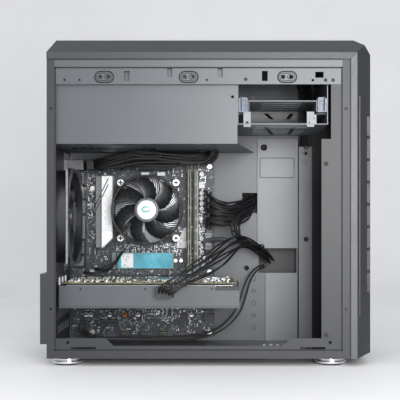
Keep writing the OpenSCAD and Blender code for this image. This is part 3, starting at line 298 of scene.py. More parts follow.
def rounded(y0, y1, z0, z1, r, count=6):
    """Outline of a rectangle with round corners: quarter circles about four corner centres."""
    a = np.linspace(0, TURN / 4, count)
    rows = [
        (y1 - r, z1 - r, 0),
        (y0 + r, z1 - r, TURN / 4),
        (y0 + r, z0 + r, TURN / 2),
        (y1 - r, z0 + r, 3 * TURN / 4),
    ]
    return np.concatenate([np.stack([y + r * np.cos(a + t), z + r * np.sin(a + t)], 1) for y, z, t in rows])


def piece(name, shape, finish, body, slot, replaces=(), angle=35, coats=None):
    """Puts a shape into a mesh in metres, closes it, turns its faces outwards and sets it on a body.

    finish names one finish, or a list of them, and coats then gives a number for each face.
    A shape's third member, where it has one, says how far round and along its tube each point lies."""
    points, faces, *lay = shape
    mesh = bpy.data.meshes.new(name)
    faces = [tuple(dict.fromkeys(f)) for f in faces.tolist()]
    kept = [i for i, f in enumerate(faces) if len(f) > 2]
    mesh.from_pydata((points * MM).tolist(), [], [faces[i] for i in kept])
    finishes = finish if isinstance(finish, list) else [finish]
    for key in finishes:
        mesh.materials.append(FINISHES[key])
    if lay:
        attribute = mesh.attributes.new("lay", "FLOAT_VECTOR", "POINT")
        attribute.data.foreach_set("vector", np.asarray(lay[0], np.float32).ravel())
    if coats is not None:
        mesh.polygons.foreach_set("material_index", np.asarray(coats, np.int32)[kept])
    shaped = bmesh.new()
    shaped.from_mesh(mesh)
    bmesh.ops.remove_doubles(shaped, verts=shaped.verts, dist=2e-7)
    bmesh.ops.dissolve_degenerate(shaped, edges=shaped.edges, dist=1e-7)
    bmesh.ops.recalc_face_normals(shaped, faces=shaped.faces)
    shaped.to_mesh(mesh)
    shaped.free()
    mesh.shade_smooth()
    mesh.set_sharp_from_angle(angle=math.radians(angle))
    made = bpy.data.objects.new(name, mesh)
    bpy.context.scene.collection.objects.link(made)
    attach(made, body)
    if replaces:
        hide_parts(*replaces)
    return made


def fixed(name, shape, finish, slot, replaces=(), **options):
    """A piece that stays with the case."""
    return piece(name, shape, finish, "chassis", slot, replaces, **options)


# ---------------------------------------------------------------- finishes


class Term:
    """A shader value in an expression: each operator adds the Math node that it stands for."""

    def __init__(self, finish, socket):
        self.finish = finish
        self.socket = socket

    def __add__(self, other):
        return self.finish.maths("ADD", self, other)

    def __sub__(self, other):
        return self.finish.maths("SUBTRACT", self, other)

    def __rsub__(self, other):
        return self.finish.maths("SUBTRACT", other, self)

    def __mul__(self, other):
        return self.finish.maths("MULTIPLY", self, other)

    def __truediv__(self, other):
        return self.finish.maths("DIVIDE", self, other)

    def __gt__(self, other):
        return self.finish.maths("GREATER_THAN", self, other)

    def __lt__(self, other):
        return self.finish.maths("LESS_THAN", self, other)

    def __mod__(self, other):
        return self.finish.maths("FLOORED_MODULO", self, other)

    def __abs__(self):
        return self.finish.maths("ABSOLUTE", self)

    __radd__ = __add__
    __rmul__ = __mul__


class Finish:
    """One material: a main shader with plain sockets, and the nodes that vary it over the surface."""

    def __init__(self, name, colour, roughness=0.5, metallic=0.0, **sockets):
        self.material = bpy.data.materials.new(name)
        self.material.use_nodes = True
        self.tree = self.material.node_tree
        self.shader = self.tree.nodes["Principled BSDF"]
        self.colour = (*colour[:3], 1.0)
        self.material.diffuse_color = self.colour
        self.put("Base Color", self.colour)
        self.put("Roughness", roughness)
        self.put("Metallic", metallic)
        for socket, value in sockets.items():
            self.put(socket.replace("_", " ").title(), value)
        self._place = None

    def put(self, socket, value, shader=None):
        """Sets a socket of the main shader, or links a value to it."""
        self._feed((shader or self.shader).inputs[socket], value)

    def _feed(self, socket, value):
        if isinstance(value, Term):
            self.tree.links.new(value.socket, socket)
        else:
            socket.default_value = value

    def node(self, kind, settings=None, inputs=None, out=0):
        """Any node: its settings first, then the values or links of its sockets."""
        made = self.tree.nodes.new("ShaderNode" + kind)
        for key, value in (settings or {}).items():
            if key == "stops":
                ramp = made.color_ramp.elements
                while len(ramp) < len(value):
                    ramp.new(0.5)
                for element, (position, colour) in zip(ramp, value):
                    element.position = position
                    element.color = (*colour[:3], 1.0)
            else:
                setattr(made, key, value)
        for key, value in (inputs or {}).items():
            self._feed(made.inputs[key], value)
        return Term(self, made.outputs[out])

    def maths(self, operation, *values):
        """One Math node."""
        return self.node("Math", {"operation": operation}, dict(enumerate(values)))

    def clamp(self, value):
        return self.node("Clamp", None, {0: value})

    @property
    def place(self):
        """Position on the part, in metres."""
        if self._place is None:
            self._place = self.node("TexCoord", None, None, out=3)
        return self._place

    def axis(self, letter):
        """One coordinate in millimetres."""
        return self.node("SeparateXYZ", None, {0: self.place}, out="xyz".index(letter)) * (1 / MM)

    def stretched(self, scale):
        """Position scaled by its own factor along each axis."""
        return self.node("Mapping", None, {"Vector": self.place, "Scale": scale})

    def noise(self, size, detail=2.0, stretch=None, rough=0.5):
        """Cloudy value whose features are about size millimetres across."""
        place = self.stretched(stretch) if stretch else self.place
        return self.node(
            "TexNoise", None, {
                "Vector": place, "Scale": 1 / (size * MM), "Detail": detail, "Roughness": rough
            }
        )

    def cells(self, size, feature="F1", out=0, stretch=None):
        """Cell pattern with cells about size millimetres across."""
        place = self.stretched(stretch) if stretch else self.place
        return self.node("TexVoronoi", {"feature": feature}, {"Vector": place, "Scale": 1 / (size * MM)}, out)

    def mix(self, share, first, second):
        """Colour between two colours."""
        first = first if isinstance(first, Term) else (*first[:3], 1.0)
        second = second if isinstance(second, Term) else (*second[:3], 1.0)
        return self.node("Mix", {"data_type": "RGBA"}, {0: share, 6: first, 7: second}, out=2)

    def steps(self, value, stops):
        """Colour ramp."""
        return self.node("ValToRGB", {"stops": stops}, {0: value})

    def between(self, value, low, high, to_low=0.0, to_high=1.0):
        """Value carried from one range to another and held at its ends."""
        return self.node("MapRange", {"clamp": True}, {0: value, 1: low, 2: high, 3: to_low, 4: to_high})

    def inside(self, value, low, high):
        """1 between two limits, 0 elsewhere."""
        return (value > low) * (value < high)

    def relief(self, height, depth, strength=1.0, edge=0.0):
        """Bump of a height value, depth in millimetres, over edges softened by the edge radius."""
        inputs = {"Strength": strength, "Distance": depth * MM, "Height": height}
        if edge:
            inputs["Normal"] = self.soft_edge(edge)
        self.put("Normal", self.node("Bump", None, inputs))

    def soft_edge(self, radius):
        return self.node("Bevel", {"samples": 4}, {0: radius * MM})


def shaded(colour, factor):
    """The colour made lighter or darker by the factor."""
    return [min(1, c * factor) for c in colour]


def powder_coat(name, colour, grain=0.5, roughness=0.46):
    """Baked paint on steel: fine orange peel, faint clouding and a few worn specks."""
    f = Finish(name, colour, roughness)
    fine, cloud = f.noise(grain, 3), f.noise(55, 2)
    scuff = f.noise(1.2, 2, stretch=(1, 0.12, 1)) > 0.72
    shade = f.mix(f.between(fine, 0.35, 0.65), shaded(colour, 0.86), shaded(colour, 1.14))
    shade = f.mix(f.between(cloud, 0.3, 0.7) * 0.3, shade, shaded(colour, 1.25))
    f.put("Base Color", f.mix(scuff * 0.18, shade, shaded(colour, 1.8)))
    f.put("Roughness", f.between(fine, 0.3, 0.7, roughness - 0.06, roughness + 0.08))
    f.relief(fine, 0.05, 0.35, edge=0.35)
    return f.material


def moulding(name, colour, roughness=0.42, grain=(1, 0.04, 1), depth=0.05, side=None):
    """Moulded plastic with a fine texture drawn out along one direction. side gives how far in its
    outer sides reach and their lighter colour, painted light against the darker base, which stays as painted
    shade."""
    f = Finish(name, colour, roughness)
    lines, cloud = f.noise(0.5, 3, stretch=grain), f.noise(40, 1)
    shade = f.mix(f.between(lines, 0.3, 0.7), shaded(colour, 0.84), shaded(colour, 1.18))
    if side:
        # painted light and shade: outer sides lighter, the front and bevel left in the darker base colour
        shade = f.mix(abs(f.axis("x")) > side[0], shade, side[1])
    f.put("Base Color", f.mix(f.between(cloud, 0.35, 0.7) * 0.2, shade, shaded(colour, 1.35)))
    f.put("Roughness", f.between(lines, 0.3, 0.7, roughness - 0.05, roughness + 0.09))
    f.relief(lines, depth, 0.4, edge=0.5)
    return f.material


def smooth_plastic(name, colour, roughness=0.35, edge=0.3):
    """Plain moulded part: faint flow marks and a softened edge."""
    f = Finish(name, colour, roughness)
    flow = f.noise(4, 3)
    f.put("Base Color", f.mix(f.between(flow, 0.3, 0.7), shaded(colour, 0.85), shaded(colour, 1.2)))
    f.put("Roughness", f.between(flow, 0.3, 0.7, roughness - 0.05, roughness + 0.1))
    f.relief(f.noise(0.3, 2), 0.02, 0.3, edge=edge)
    return f.material


def bare_metal(name, colour, roughness=0.3, brushed=(1, 1, 0.05), edge=0.2):
    """Metal with fine brushing drawn out along one direction."""
    f = Finish(name, colour, roughness, 1.0)
    lines, cloud = f.noise(0.35, 2, stretch=brushed), f.noise(12, 2)
    f.put("Base Color", f.mix(f.between(cloud, 0.3, 0.7), shaded(colour, 0.82), colour))
    f.put("Roughness", f.between(lines, 0.3, 0.7, roughness - 0.08, roughness + 0.12))
    f.relief(lines, 0.02, 0.25, edge=edge)
    return f.material


def glossy_ring(name, colour):
    """Plated ring: mirror bright with faint turning marks in rings about the vertical."""
    f = Finish(name, colour, 0.12, 1.0)
    marks = f.noise(0.5, 2, stretch=(0.02, 0.02, 1))
    f.put("Roughness", f.between(marks, 0.3, 0.7, 0.07, 0.2))
    f.relief(marks, 0.01, 0.2, edge=0.4)
    return f.material


def rubber(name, colour, roughness=0.75):
    f = Finish(name, colour, roughness)
    f.put("Base Color", f.mix(f.noise(3, 3), shaded(colour, 0.7), shaded(colour, 1.5)))
    f.relief(f.noise(0.6, 3), 0.05, 0.5)
    return f.material


def circuit(name, base, track, plane="yz", pads=0.5):
    """Circuit board: solder mask over copper tracks in short straight runs, plated holes and legend."""
    f = Finish(name, base, 0.38, coat_weight=0.15)
    a, b = f.axis(plane[0]), f.axis(plane[1])
    region = f.noise(16, 1)
    way = f.cells(11, out=1)
    pick = f.node("SeparateColor", None, {0: way})
    level = abs((a % 1.9) - 0.95) < 0.26
    upright = abs((b % 1.9) - 0.95) < 0.26
    slant = abs(((a + b) % 2.4) - 1.2) < 0.3
    copper = f.node("Mix", {"data_type": "FLOAT"}, {0: pick > 0.36, 2: level, 3: upright})
    copper = f.node("Mix", {"data_type": "FLOAT"}, {0: pick > 0.72, 2: copper, 3: slant})
    copper = copper * (region > 0.47)
    holes = f.cells(3.4) < 0.11
    legend = (f.cells(5.2, "DISTANCE_TO_EDGE") < 0.022) * (f.noise(7, 1) > 0.55)
    shade = f.mix(f.between(f.noise(30, 2), 0.3, 0.7), shaded(base, 0.75), shaded(base, 1.35))
    shade = f.mix(copper * 0.75, shade, track)
    shade = f.mix(holes * pads, shade, (0.62, 0.60, 0.5))
    f.put("Base Color", f.mix(legend * 0.6, shade, (0.5, 0.53, 0.55)))
    f.put("Roughness", f.between(copper, 0, 1, 0.42, 0.3))
    f.put("Metallic", holes * 0.6)
    f.relief(copper, 0.06, 0.5)
    return f.material


def speckled(name, colours, size=5.0):
    """Small parts of several colours: each cell of the board picks one of them."""
    f = Finish(name, colours[0], 0.45)
    pick = f.node("SeparateColor", None, {0: f.cells(size, out=1)})
    shade = colours[0]
    for i, colour in enumerate(colours[1:], 1):
        shade = f.mix(pick > i / len(colours), shade, colour)
    f.put("Base Color", shade)
    f.put("Roughness", f.between(f.noise(0.8, 2), 0.3, 0.7, 0.38, 0.55))
    f.relief(f.noise(0.3, 2), 0.01, 0.2)
    return f.material


def printed_label(name, colour, ink, plane="yz", row=2.2):
    """Paper label with plain rows of short bars where print would be."""
    f = Finish(name, colour, 0.45)
    a, b = f.axis(plane[0]), f.axis(plane[1])
    rows = (b % row) > row * 0.55
    marks = (f.noise(1.1, 0, stretch=(1, 1, 0.3)) > 0.52) * rows * (f.noise(9, 0) > 0.5)
    f.put("Base Color", f.mix(marks * 0.8, colour, ink))
    f.put("Roughness", f.between(f.noise(2, 2), 0.3, 0.7, 0.38, 0.52))
    f.relief(f.noise(0.4, 2) + a * 0, 0.01, 0.2)
    return f.material


def sleeve(name, colour, roughness=0.5, threads=5, pitch=2.6):
    """Woven sleeve or jacket: two families of threads that wind round the lead both ways."""
    f = Finish(name, colour, roughness)
    lay = f.node("Attribute", {"attribute_name": "lay"}, None, out=1)
    across, over, length = (f.node("SeparateXYZ", None, {0: lay}, out=i) for i in range(3))
    around = f.maths("ARCTAN2", over, across)
    one = f.maths("SINE", around * threads + length * pitch)
    two = f.maths("SINE", around * threads - length * pitch)
    weave = one * two
    f.put("Base Color", f.mix(f.between(weave, -1, 1), shaded(colour, 0.55), shaded(colour, 1.7)))
    f.put("Roughness", f.between(weave, -1, 1, roughness + 0.15, roughness - 0.12))
    f.relief(weave, 0.12, 0.6)
    return f.material


# ---------------------------------------------------------------- sizes and colours that a user may change


def colour_choice(name, code, description):
    return FloatVectorProperty(
        name=name, subtype="COLOR", size=3, min=0, max=1, default=tint(code), description=description
    )


class TowerColours(bpy.types.PropertyGroup):
    """Colours of the finishes"""

    frame: colour_choice("Frame", "#232528", "Painted side frame and rails")
    sheet: colour_choice("Inner sheet", "#4a4d51", "Painted tray, shroud and floor")
    plate: colour_choice("Cover plates", "#66696e", "Lighter plates on the tray")
    # the plate colour also serves as painted light on the drive cage and tray
    cover: colour_choice("Top cover", "#2c2e31", "Moulded top cover")
    # bezel colour: darker than the plastic, as painted shade on the bevel that faces away from the lights
    bezel: colour_choice("Front bezel", "#0f1012", "Moulded front bezel")
    plastic: colour_choice("Black plastic", "#1c1d1f", "Fans, plugs and clips")
    board: colour_choice("Circuit board", "#121a23", "Solder mask")
    card: colour_choice("Graphics card", "#46494d", "Graphics card shroud")
    drive: colour_choice("Solid state drive", "#3f9db3", "Label on the small drive")
    lead: colour_choice("Leads", "#141517", "Sleeves and jackets of the leads")


class TowerStage(bpy.types.PropertyGroup):
    """Camera, light and floor"""

    distance: FloatProperty(name="Distance", default=1.272, unit="LENGTH", description="Camera to the middle")
    height: FloatProperty(name="Height", default=0.177, unit="LENGTH", description="Camera above the floor")
    lens: FloatProperty(name="Lens", default=87.5, description="Focal length in millimetres on a 36 mm frame")
    key: FloatProperty(name="Main light", default=9.0, description="Power of the large soft light")
    fill: FloatProperty(name="Front light", default=20.0, description="Power of the light beside the camera")
    sky: FloatProperty(name="Surroundings", default=0.78, description="Strength of the pale surroundings")


FINISHES = {}


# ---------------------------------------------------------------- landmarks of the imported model

RAIL_LOW, RAIL_HIGH = span("top_rails")
BASE_LOW = span("bottom_rails")[0]
SHROUD_LOW = span("psu_shroud")[0]
PLATE_LOW, PLATE_HIGH = span("tray_plates")
BOARD_LOW, BOARD_HIGH = span("motherboard")
BOARD_X = BOARD_LOW[0]
BEZEL_HIGH = span("front_bezel")[1]
CARD_LOW, CARD_HIGH = span("gpu_shroud")
OPEN_X = RAIL_LOW[0]
COOLER_SPACING = 75


def screw_head(radius, height, sides=20):
    """Low dome with a round shoulder: radius shrinks as the cosine and height grows as the sine."""
    a = np.linspace(0, TURN / 4, 5)
    dome = np.stack([radius * (0.55 + 0.45 * np.cos(a)), height * (0.35 + 0.65 * np.sin(a))], 1)
    return turned(np.concatenate([[[0, 0], [radius, 0]], dome, [[0, height]]]), sides)


def cross_recess(radius, height):
    """Two thin bars across each other, just proud of a screw head."""
    long, thin = radius * 0.62, radius * 0.17
    return blocks(
        [[-long, -thin, height - 0.3], [-thin, -long, height - 0.3]],
        [[long, thin, height + 0.06], [thin, long, height + 0.06]],
        0.05,
    )


def rivet_set(name, places, radius, height, body="chassis", direction="-x", slot="case_steel", metal="frame"):
    """Screw heads with a dark cross at each of the places."""
    heads = copies(placed(screw_head(radius, height), direction=direction), places)
    marks = copies(placed(cross_recess(radius, height), direction=direction), places)
    coats = np.repeat([0, 1], [len(heads[1]), len(marks[1])])
    shape = joined([heads, marks])
    return piece(name, shape, [metal, "shadow"], body, slot, coats=coats)


class TOWER_OT_case_trim(bpy.types.Operator):
    """Makes the painted shade in the panel seams, the embossed ovals, rivets and screws of the open side"""

    bl_idname = "tower.case_trim"
    bl_label = "Case trim"

    def execute(self, context):
        x = OPEN_X
        y0, y1 = RAIL_LOW[1], RAIL_HIGH[1]
        inset = 9.5
        z1 = RAIL_HIGH[2] + 1 - inset
        z0 = BASE_LOW[2] + inset
        # painted shade: thin near-black strips round the recess where the side panel seats
        seam = 1.8
        lows = [[x + 0.2, y0, z1 - seam], [x + 0.2, y0, z0], [x + 0.2, y1 - seam, z0], [x + 0.2, y0, z0]]
        highs = [[x + 0.7, y1, z1], [x + 0.7, y1, z0 + seam], [x + 0.7, y1, z1], [x + 0.7, y0 + seam, z1]]
        fixed("panel_seams", blocks(lows, highs, 0.05), "shadow", "case_steel")

        oval_z = RAIL_LOW[2] + 8.8
        oval_y = [y1 - 60, y1 - 162, y0 + 67]
        rims, marks = [], []
        for i, y in enumerate(oval_y):
            for width, height, r in ((22.4, 13, 0.75), (18, 8.8, 0.35)):
                line = stadium(y, oval_z, width, height, 36)
                rims.append(loop_tube(np.insert(line, 0, x - 0.05, 1), r, 8))
            sides, hole_r = 20, 2.7
            a = np.arange(sides) / sides * TURN
            round_hole = [np.full(sides, x - 0.05), y - 3.2 + hole_r * np.cos(a), oval_z + hole_r * np.sin(a)]
            ring = np.stack(round_hole, 1)
            marks.append(loop_tube(ring, 0.42, 6))
            bar = blocks([[x - 0.2, -3.2, -0.5]], [[x + 0.1, 3.2, 0.5]], 0.1)
            turn = spin(bar, [0.0, 0.9, -0.9][i], "x", (x, 0, 0))
            marks.append((turn[0] + np.array([0, y + 4.2, oval_z]), turn[1]))
        fixed("oval_rims", joined(rims), "shadow", "case_steel")
        fixed("oval_marks", joined(marks), "shadow", "case_steel")

        low_z = RAIL_LOW[2] + 5
        rail = [[x + 0.5, y0 + 117, low_z + 1], [x + 0.5, y0 + 20.5, low_z], [x + 0.5, y0 + 11.5, low_z]]
        shroud = [[SHROUD_LOW[0], SHROUD_LOW[1] + 6, SHROUD_LOW[2] + 56]]
        flange = [[x + 0.5, y0 + 20, z] for z in (RAIL_LOW[2] - 96, 38.3)]
        rivet_set("rail_rivets", rail + shroud, 2.1, 0.9)
        rivet_set("flange_screws", flange, 2.7, 1.1, metal="frame")
        rivet_set("panel_screw_heads", [[x, y0 - 4, 69.5], [x, y0 - 4, 311.5]], 1.7, 0.6)
        plate_x = PLATE_LOW[0]
        rings = [turned([[1.9, 0], [3.4, 0], [3.1, 0.8], [2.2, 0.8], [1.9, 0]], 24)]
        column = [[plate_x, PLATE_LOW[1] + 7.9, z] for z in (PLATE_HIGH[2] - 11.5, 150.5)]
        rims = set_at(rings[0], column)
        fixed("column_eyelets", rims, "shadow", "plate_steel")
        grommet = placed(
            turned([[2.6, 0], [4.6, 0], [4.4, 1.2], [3.4, 1.5], [2.6, 1.0], [0, 0.2]], 24), direction="-x"
        )
        places = [[plate_x + 3, PLATE_HIGH[1] - 9, PLATE_HIGH[2] + 4 - 16]]
        fixed("plate_grommet", copies(grommet, places), "shadow", "plate_steel")
        return {"FINISHED"}


class TOWER_OT_feet(bpy.types.Operator):
    """Makes the plated rings and ribbed pads of the feet"""

    bl_idname = "tower.feet"
    bl_label = "Feet"

    def execute(self, context):
        low, high = span("foot_rings")
        pad_low, pad_high = span("foot_pads")
        r = 19.0
        xs, ys = (low[0] + r, high[0] - r), (low[1] + r, high[1] - r)
        places = [[x, y, 0] for x in xs for y in ys]
        a = np.linspace(-TURN / 4, TURN / 4, 7)
        lip = np.stack([r - 2 + 2 * np.cos(a), low[2] + 2 + 2 * np.sin(a)], 1)
        crown = np.stack([r - 2.6 + 1.6 * np.cos(a), high[2] - 1.6 + 1.6 * np.sin(a)], 1)
        inner = np.array([[0, high[2]], [0, high[2] - 2], [r - 5, high[2] - 2.2], [r - 4.4, low[2]]])
        ring = turned(np.concatenate([inner[1:], lip, crown, inner[:1]]), 64)
        fixed("plated_rings", copies(ring, places), "chrome", "chrome_ring", ["foot_rings"])
        steps = np.linspace(0, r - 5.2, 14)
        ribs = np.stack([steps[::-1], pad_low[2] + 0.35 * (1 - np.cos(np.arange(14) * math.pi)) / 2], 1)
        top = np.array([[0, pad_high[2]], [r - 4.6, pad_high[2]], [r - 4.6, 0.4]])
        pad = turned(np.concatenate([top, ribs]), 48)
        fixed("ribbed_pads", copies(pad, places), "rubber", "foot_rubber", ["foot_pads"])
        return {"FINISHED"}


# ---------------------------------------------------------------- fans


def blade_set(hub_r, tip_r, z0, z1, count, sweep=0.45, cover=0.86, flare=0.16, thick=0.9, rows=12, cols=18):
    """Fan blades about Z: round a blade the angle runs forward and back as a cosine while the sheet
    thickens as a sine. The blade leans forward with the square of its reach, twists flatter towards
    its tip, is cupped by a half sine and closes to its middle line at the tip."""
    s = np.linspace(0, 1, rows)[:, None]
    w = np.arange(cols)[None] / cols * TURN
    chord = (1 - np.cos(w)) / 2
    radius = hub_r + (tip_r - hub_r) * s
    wide = TURN / count * cover * (1 - flare / 2 + flare * s)
    angle = sweep * s**1.6 + wide * (chord - 0.5)
    rise = (z1 - z0) * (1 - 0.28 * s)
    height = (z0 + z1) / 2 + rise * (chord - 0.5) + 0.13 * (z1 - z0) * np.sin(math.pi * chord)
    body = thick / 2 * np.sin(w) * (1 - 0.35 * s)
    body = np.concatenate([body[:-1], np.zeros((1, cols))])
    lean = rise / np.maximum(wide * radius, 1)
    height = height + body / np.sqrt(1 + lean**2)
    angle = angle - body * lean / np.sqrt(1 + lean**2) / radius
    points = np.stack([radius * np.cos(angle), radius * np.sin(angle), height + 0 * radius], -1)
    root = np.broadcast_to(points[:1].mean(1, keepdims=True), points[:1].shape)
    blade = grid(np.concatenate([root, points]))
    return spin(blade, np.arange(count) / count * TURN, "z")


def hub_cup(radius, z0, z1, label_r):
    """Fan hub: open at the back, with a rounded shoulder and a shallow seat for its label."""
    a = np.linspace(0, TURN / 4, 6)
    edge = np.stack([radius - 2.2 + 2.2 * np.cos(a), z1 - 2.2 + 2.2 * np.sin(a)], 1)
    inside = [[0, z1 - 3], [radius - 2.2, z1 - 3], [radius - 2, z0], [radius, z0]]
    seat = [[label_r + 0.6, z1], [label_r + 0.3, z1 - 0.4], [0, z1 - 0.4]]
    return turned(np.concatenate([inside, edge, seat]), 64)


def label_disc(radius, z):
    return turned([[0, z - 0.5], [radius, z - 0.5], [radius, z - 0.1], [radius - 0.25, z], [0, z]], 48)


def square_frame(size, depth, bore, corner=8.0, sides=96):
    """Fan frame: a square of rounded corners runs into a round duct. The outline's reach is the lesser
    of a corner circle's and a side's, so flange rows are square and rows between them are round."""
    a = np.arange(sides) / sides * TURN
    square = (np.abs(np.cos(a)) ** 7 + np.abs(np.sin(a)) ** 7) ** (-1 / 7) * size / 2
    square = np.minimum(square, (size / 2 - corner) * math.sqrt(2) + corner)
    duct = np.full(sides, bore / 2 + 1.8)
    flange, soft = 3.6, 0.5
    levels = [
        (square - soft, 0), (square, soft), (square, flange - soft), (square - soft, flange),
        (duct, flange), (duct, depth - flange), (square - soft, depth - flange),
        (square, depth - flange + soft), (square, depth - soft), (square - soft, depth),
        (np.full(sides, bore / 2 + 1.2), depth), (np.full(sides, bore / 2), depth - 1.5),
        (np.full(sides, bore / 2), 1.5), (np.full(sides, bore / 2 + 1.2), 0),
    ]
    rows = [np.stack([r * np.cos(a), r * np.sin(a), np.full(sides, z)], 1) for r, z in levels]
    return grid(np.stack(rows), wrap_rows=True)


def arms(count, r0, r1, z0, z1, width, lean=0.35, first=TURN / 8):
    """Curved struts: a bar whose angle leans as its reach grows."""
    s = np.linspace(0, 1, 9)[:, None]
    radius = r0 + (r1 - r0) * s
    side = np.array([-1, 1, 1, -1])[None] * width / 2
    z = np.array([z0, z0, z1, z1])[None] + 0 * s
    a = lean * s
    x = radius * np.cos(a) - side * np.sin(a)
    y = radius * np.sin(a) + side * np.cos(a)
    rows = np.stack([x + 0 * z, y + 0 * z, z], -1)
    ends = [np.broadcast_to(rows[i].mean(0), (1, 4, 3)) for i in (0, -1)]
    bar = grid(np.concatenate([ends[0], rows, ends[1]]))
    return spin(bar, first + np.arange(count) / count * TURN, "z")


class TowerFans(bpy.types.PropertyGroup):
    """Shape of the fans"""

    cooler_blades: IntProperty(
        name="Cooler blades", default=7, min=5, max=9, description="On the processor fan"
    )
    case_blades: IntProperty(name="Rear blades", default=7, min=5, max=11, description="On the rear fan")
    card_blades: IntProperty(name="Card blades", default=11, min=7, max=13, description="On each card fan")
    supply_blades: IntProperty(
        name="Supply blades", default=9, min=7, max=13, description="On the supply's fan"
    )
    sweep: FloatProperty(name="Sweep", default=0.5, min=0, max=1, description="Forward lean of a blade's tip")
    thickness: FloatProperty(
        name="Thickness", default=0.9, min=0.5, max=2, description="Blade in millimetres"
    )


class TOWER_OT_fans(bpy.types.Operator):
    """Makes the curved blades and hubs of all five fans and the rear fan's frame"""

    bl_idname = "tower.fans"
    bl_label = "Fans"

    def execute(self, context):
        p = context.scene.tower_fans
        # node, body, flow direction, blades, hub radius, share of a blade's circle, label finish
        fans = [
            ("cpu_fan_rotor", "cpu_fan", "-x", p.cooler_blades, 16.5, 0.78, "white"),
            ("rear_fan_rotor", "rear_fan", "-y", p.case_blades, 20, 0.84, "plastic"),
            ("psu_fan_rotor", "psu_fan", "-z", p.supply_blades, 20, 0.9, "plastic"),
            ("gpu_rotor_rear", "card_fan_rear", "-z", p.card_blades, 15, 0.72, "silver"),
            ("gpu_rotor_front", "card_fan_front", "-z", p.card_blades, 15, 0.72, "silver"),
        ]
        for node, body, way, count, hub, cover, label in fans:
            low, high = span(node)
            axis = "xyz".index(way[1])
            across = [i for i in range(3) if i != axis]
            tip = (high - low)[across].max() / 2 - 0.4
            middle = (low + high) / 2
            back, front = -high[axis], -low[axis]
            middle[axis] = 0
            inset = 1.2 if node.startswith("gpu") else 1.6
            flare = -0.4 if node.startswith("cpu") else 0.16
            shape = [
                blade_set(
                    hub - 1, tip, back + inset + 0.6, front - inset, count, p.sweep, cover, flare, p.thickness
                ),
                hub_cup(hub, back + 1.2, front - 0.3, hub * 0.79),
            ]
            shape.append(
                turned([[0, back + 0.1], [1.5, back + 0.1], [1.5, front - 3.2], [0, front - 3.2]], 16)
            )
            disc = label_disc(hub * 0.76, front - 0.3)
            counts = [len(shape[0][1]), len(shape[1][1]), len(shape[2][1]), len(disc[1])]
            coats = np.repeat([0, 1 if label == "white" else 0, 0, 2], counts)
            whole = placed(joined(shape + [disc]), middle, way)
            finishes = ["blades", "hub", label]
            piece(node + "_blades", whole, finishes, body, "gloss_black", [node], coats=coats, angle=42)

        low, high = span("cpu_fan_rotor")
        middle = (low + high) / 2
        # two plain arcs on the cooler fan's label
        steps = 26
        a = np.linspace(0.4, 4.6, steps)
        x = low[0] + 0.12
        swirls = []
        for start, size in ((0.0, 6.2), (2.4, 4.0)):
            b = a + start
            path = np.stack(
                [np.full(steps, x), middle[1] - size * np.cos(b), middle[2] + size * 0.62 * np.sin(b)], 1
            )
            swirls.append(tubes(path, 0.95 * np.sin(np.linspace(0.12, math.pi - 0.12, steps)), 8, 1.0))
        shape = joined(swirls)
        squeezed = (np.stack([x + (shape[0][:, 0] - x) * 0.1, shape[0][:, 1], shape[0][:, 2]], 1), shape[1])
        piece("hub_swirl", squeezed, "teal", "cpu_fan", "gloss_black")

        low, high = span("rear_fan_frame")
        size, depth = high[2] - low[2], high[1] - low[1]
        body = square_frame(size, depth, size - 6.5)
        bars = arms(4, 19, size / 2 - 2.6, 0.2, 3, 4.5, 0.3)
        motor = turned(
            [[0, 0], [20.5, 0], [21, 0.6], [21, 3], [12, 3.6], [11.5, depth * 0.58], [0, depth * 0.58]], 48
        )
        place = np.array([(low[0] + high[0]) / 2, high[1], (low[2] + high[2]) / 2])
        edge_x = place[0] - size / 2
        # painted highlight: a lighter strip along the frame's near edge, where light catches its flat side
        strip = blocks(
            [[edge_x - 0.1, low[1] + 0.6, low[2] + 3]], [[edge_x + 0.2, low[1] + 3.2, high[2] - 3]], 0.1
        )
        fixed("fan_flange_edge", strip, "vent", "black_plastic")
        shape = placed(joined([body, bars, motor]), place, "-y")
        fixed("rear_fan_housing", shape, "plastic", "black_plastic", ["rear_fan_frame"])
        screw_reach = 52.5
        corners = [
            [place[0] + i * screw_reach, low[1] - 0.1, place[2] + j * screw_reach]
            for i in (-1, 1)
            for j in (-1, 1)
        ]
        pads = set_at(
            turned([[0, 0], [4.4, 0], [4.2, 0.7], [2.3, 0.7], [2.2, -0.4], [0, -0.4]], 20), corners, "-y"
        )
        fixed("rear_fan_pads", (np.maximum(pads[0], [-999, low[1], -999]), pads[1]), "rubber", "foot_rubber")
        return {"FINISHED"}


# ---------------------------------------------------------------- processor cooler


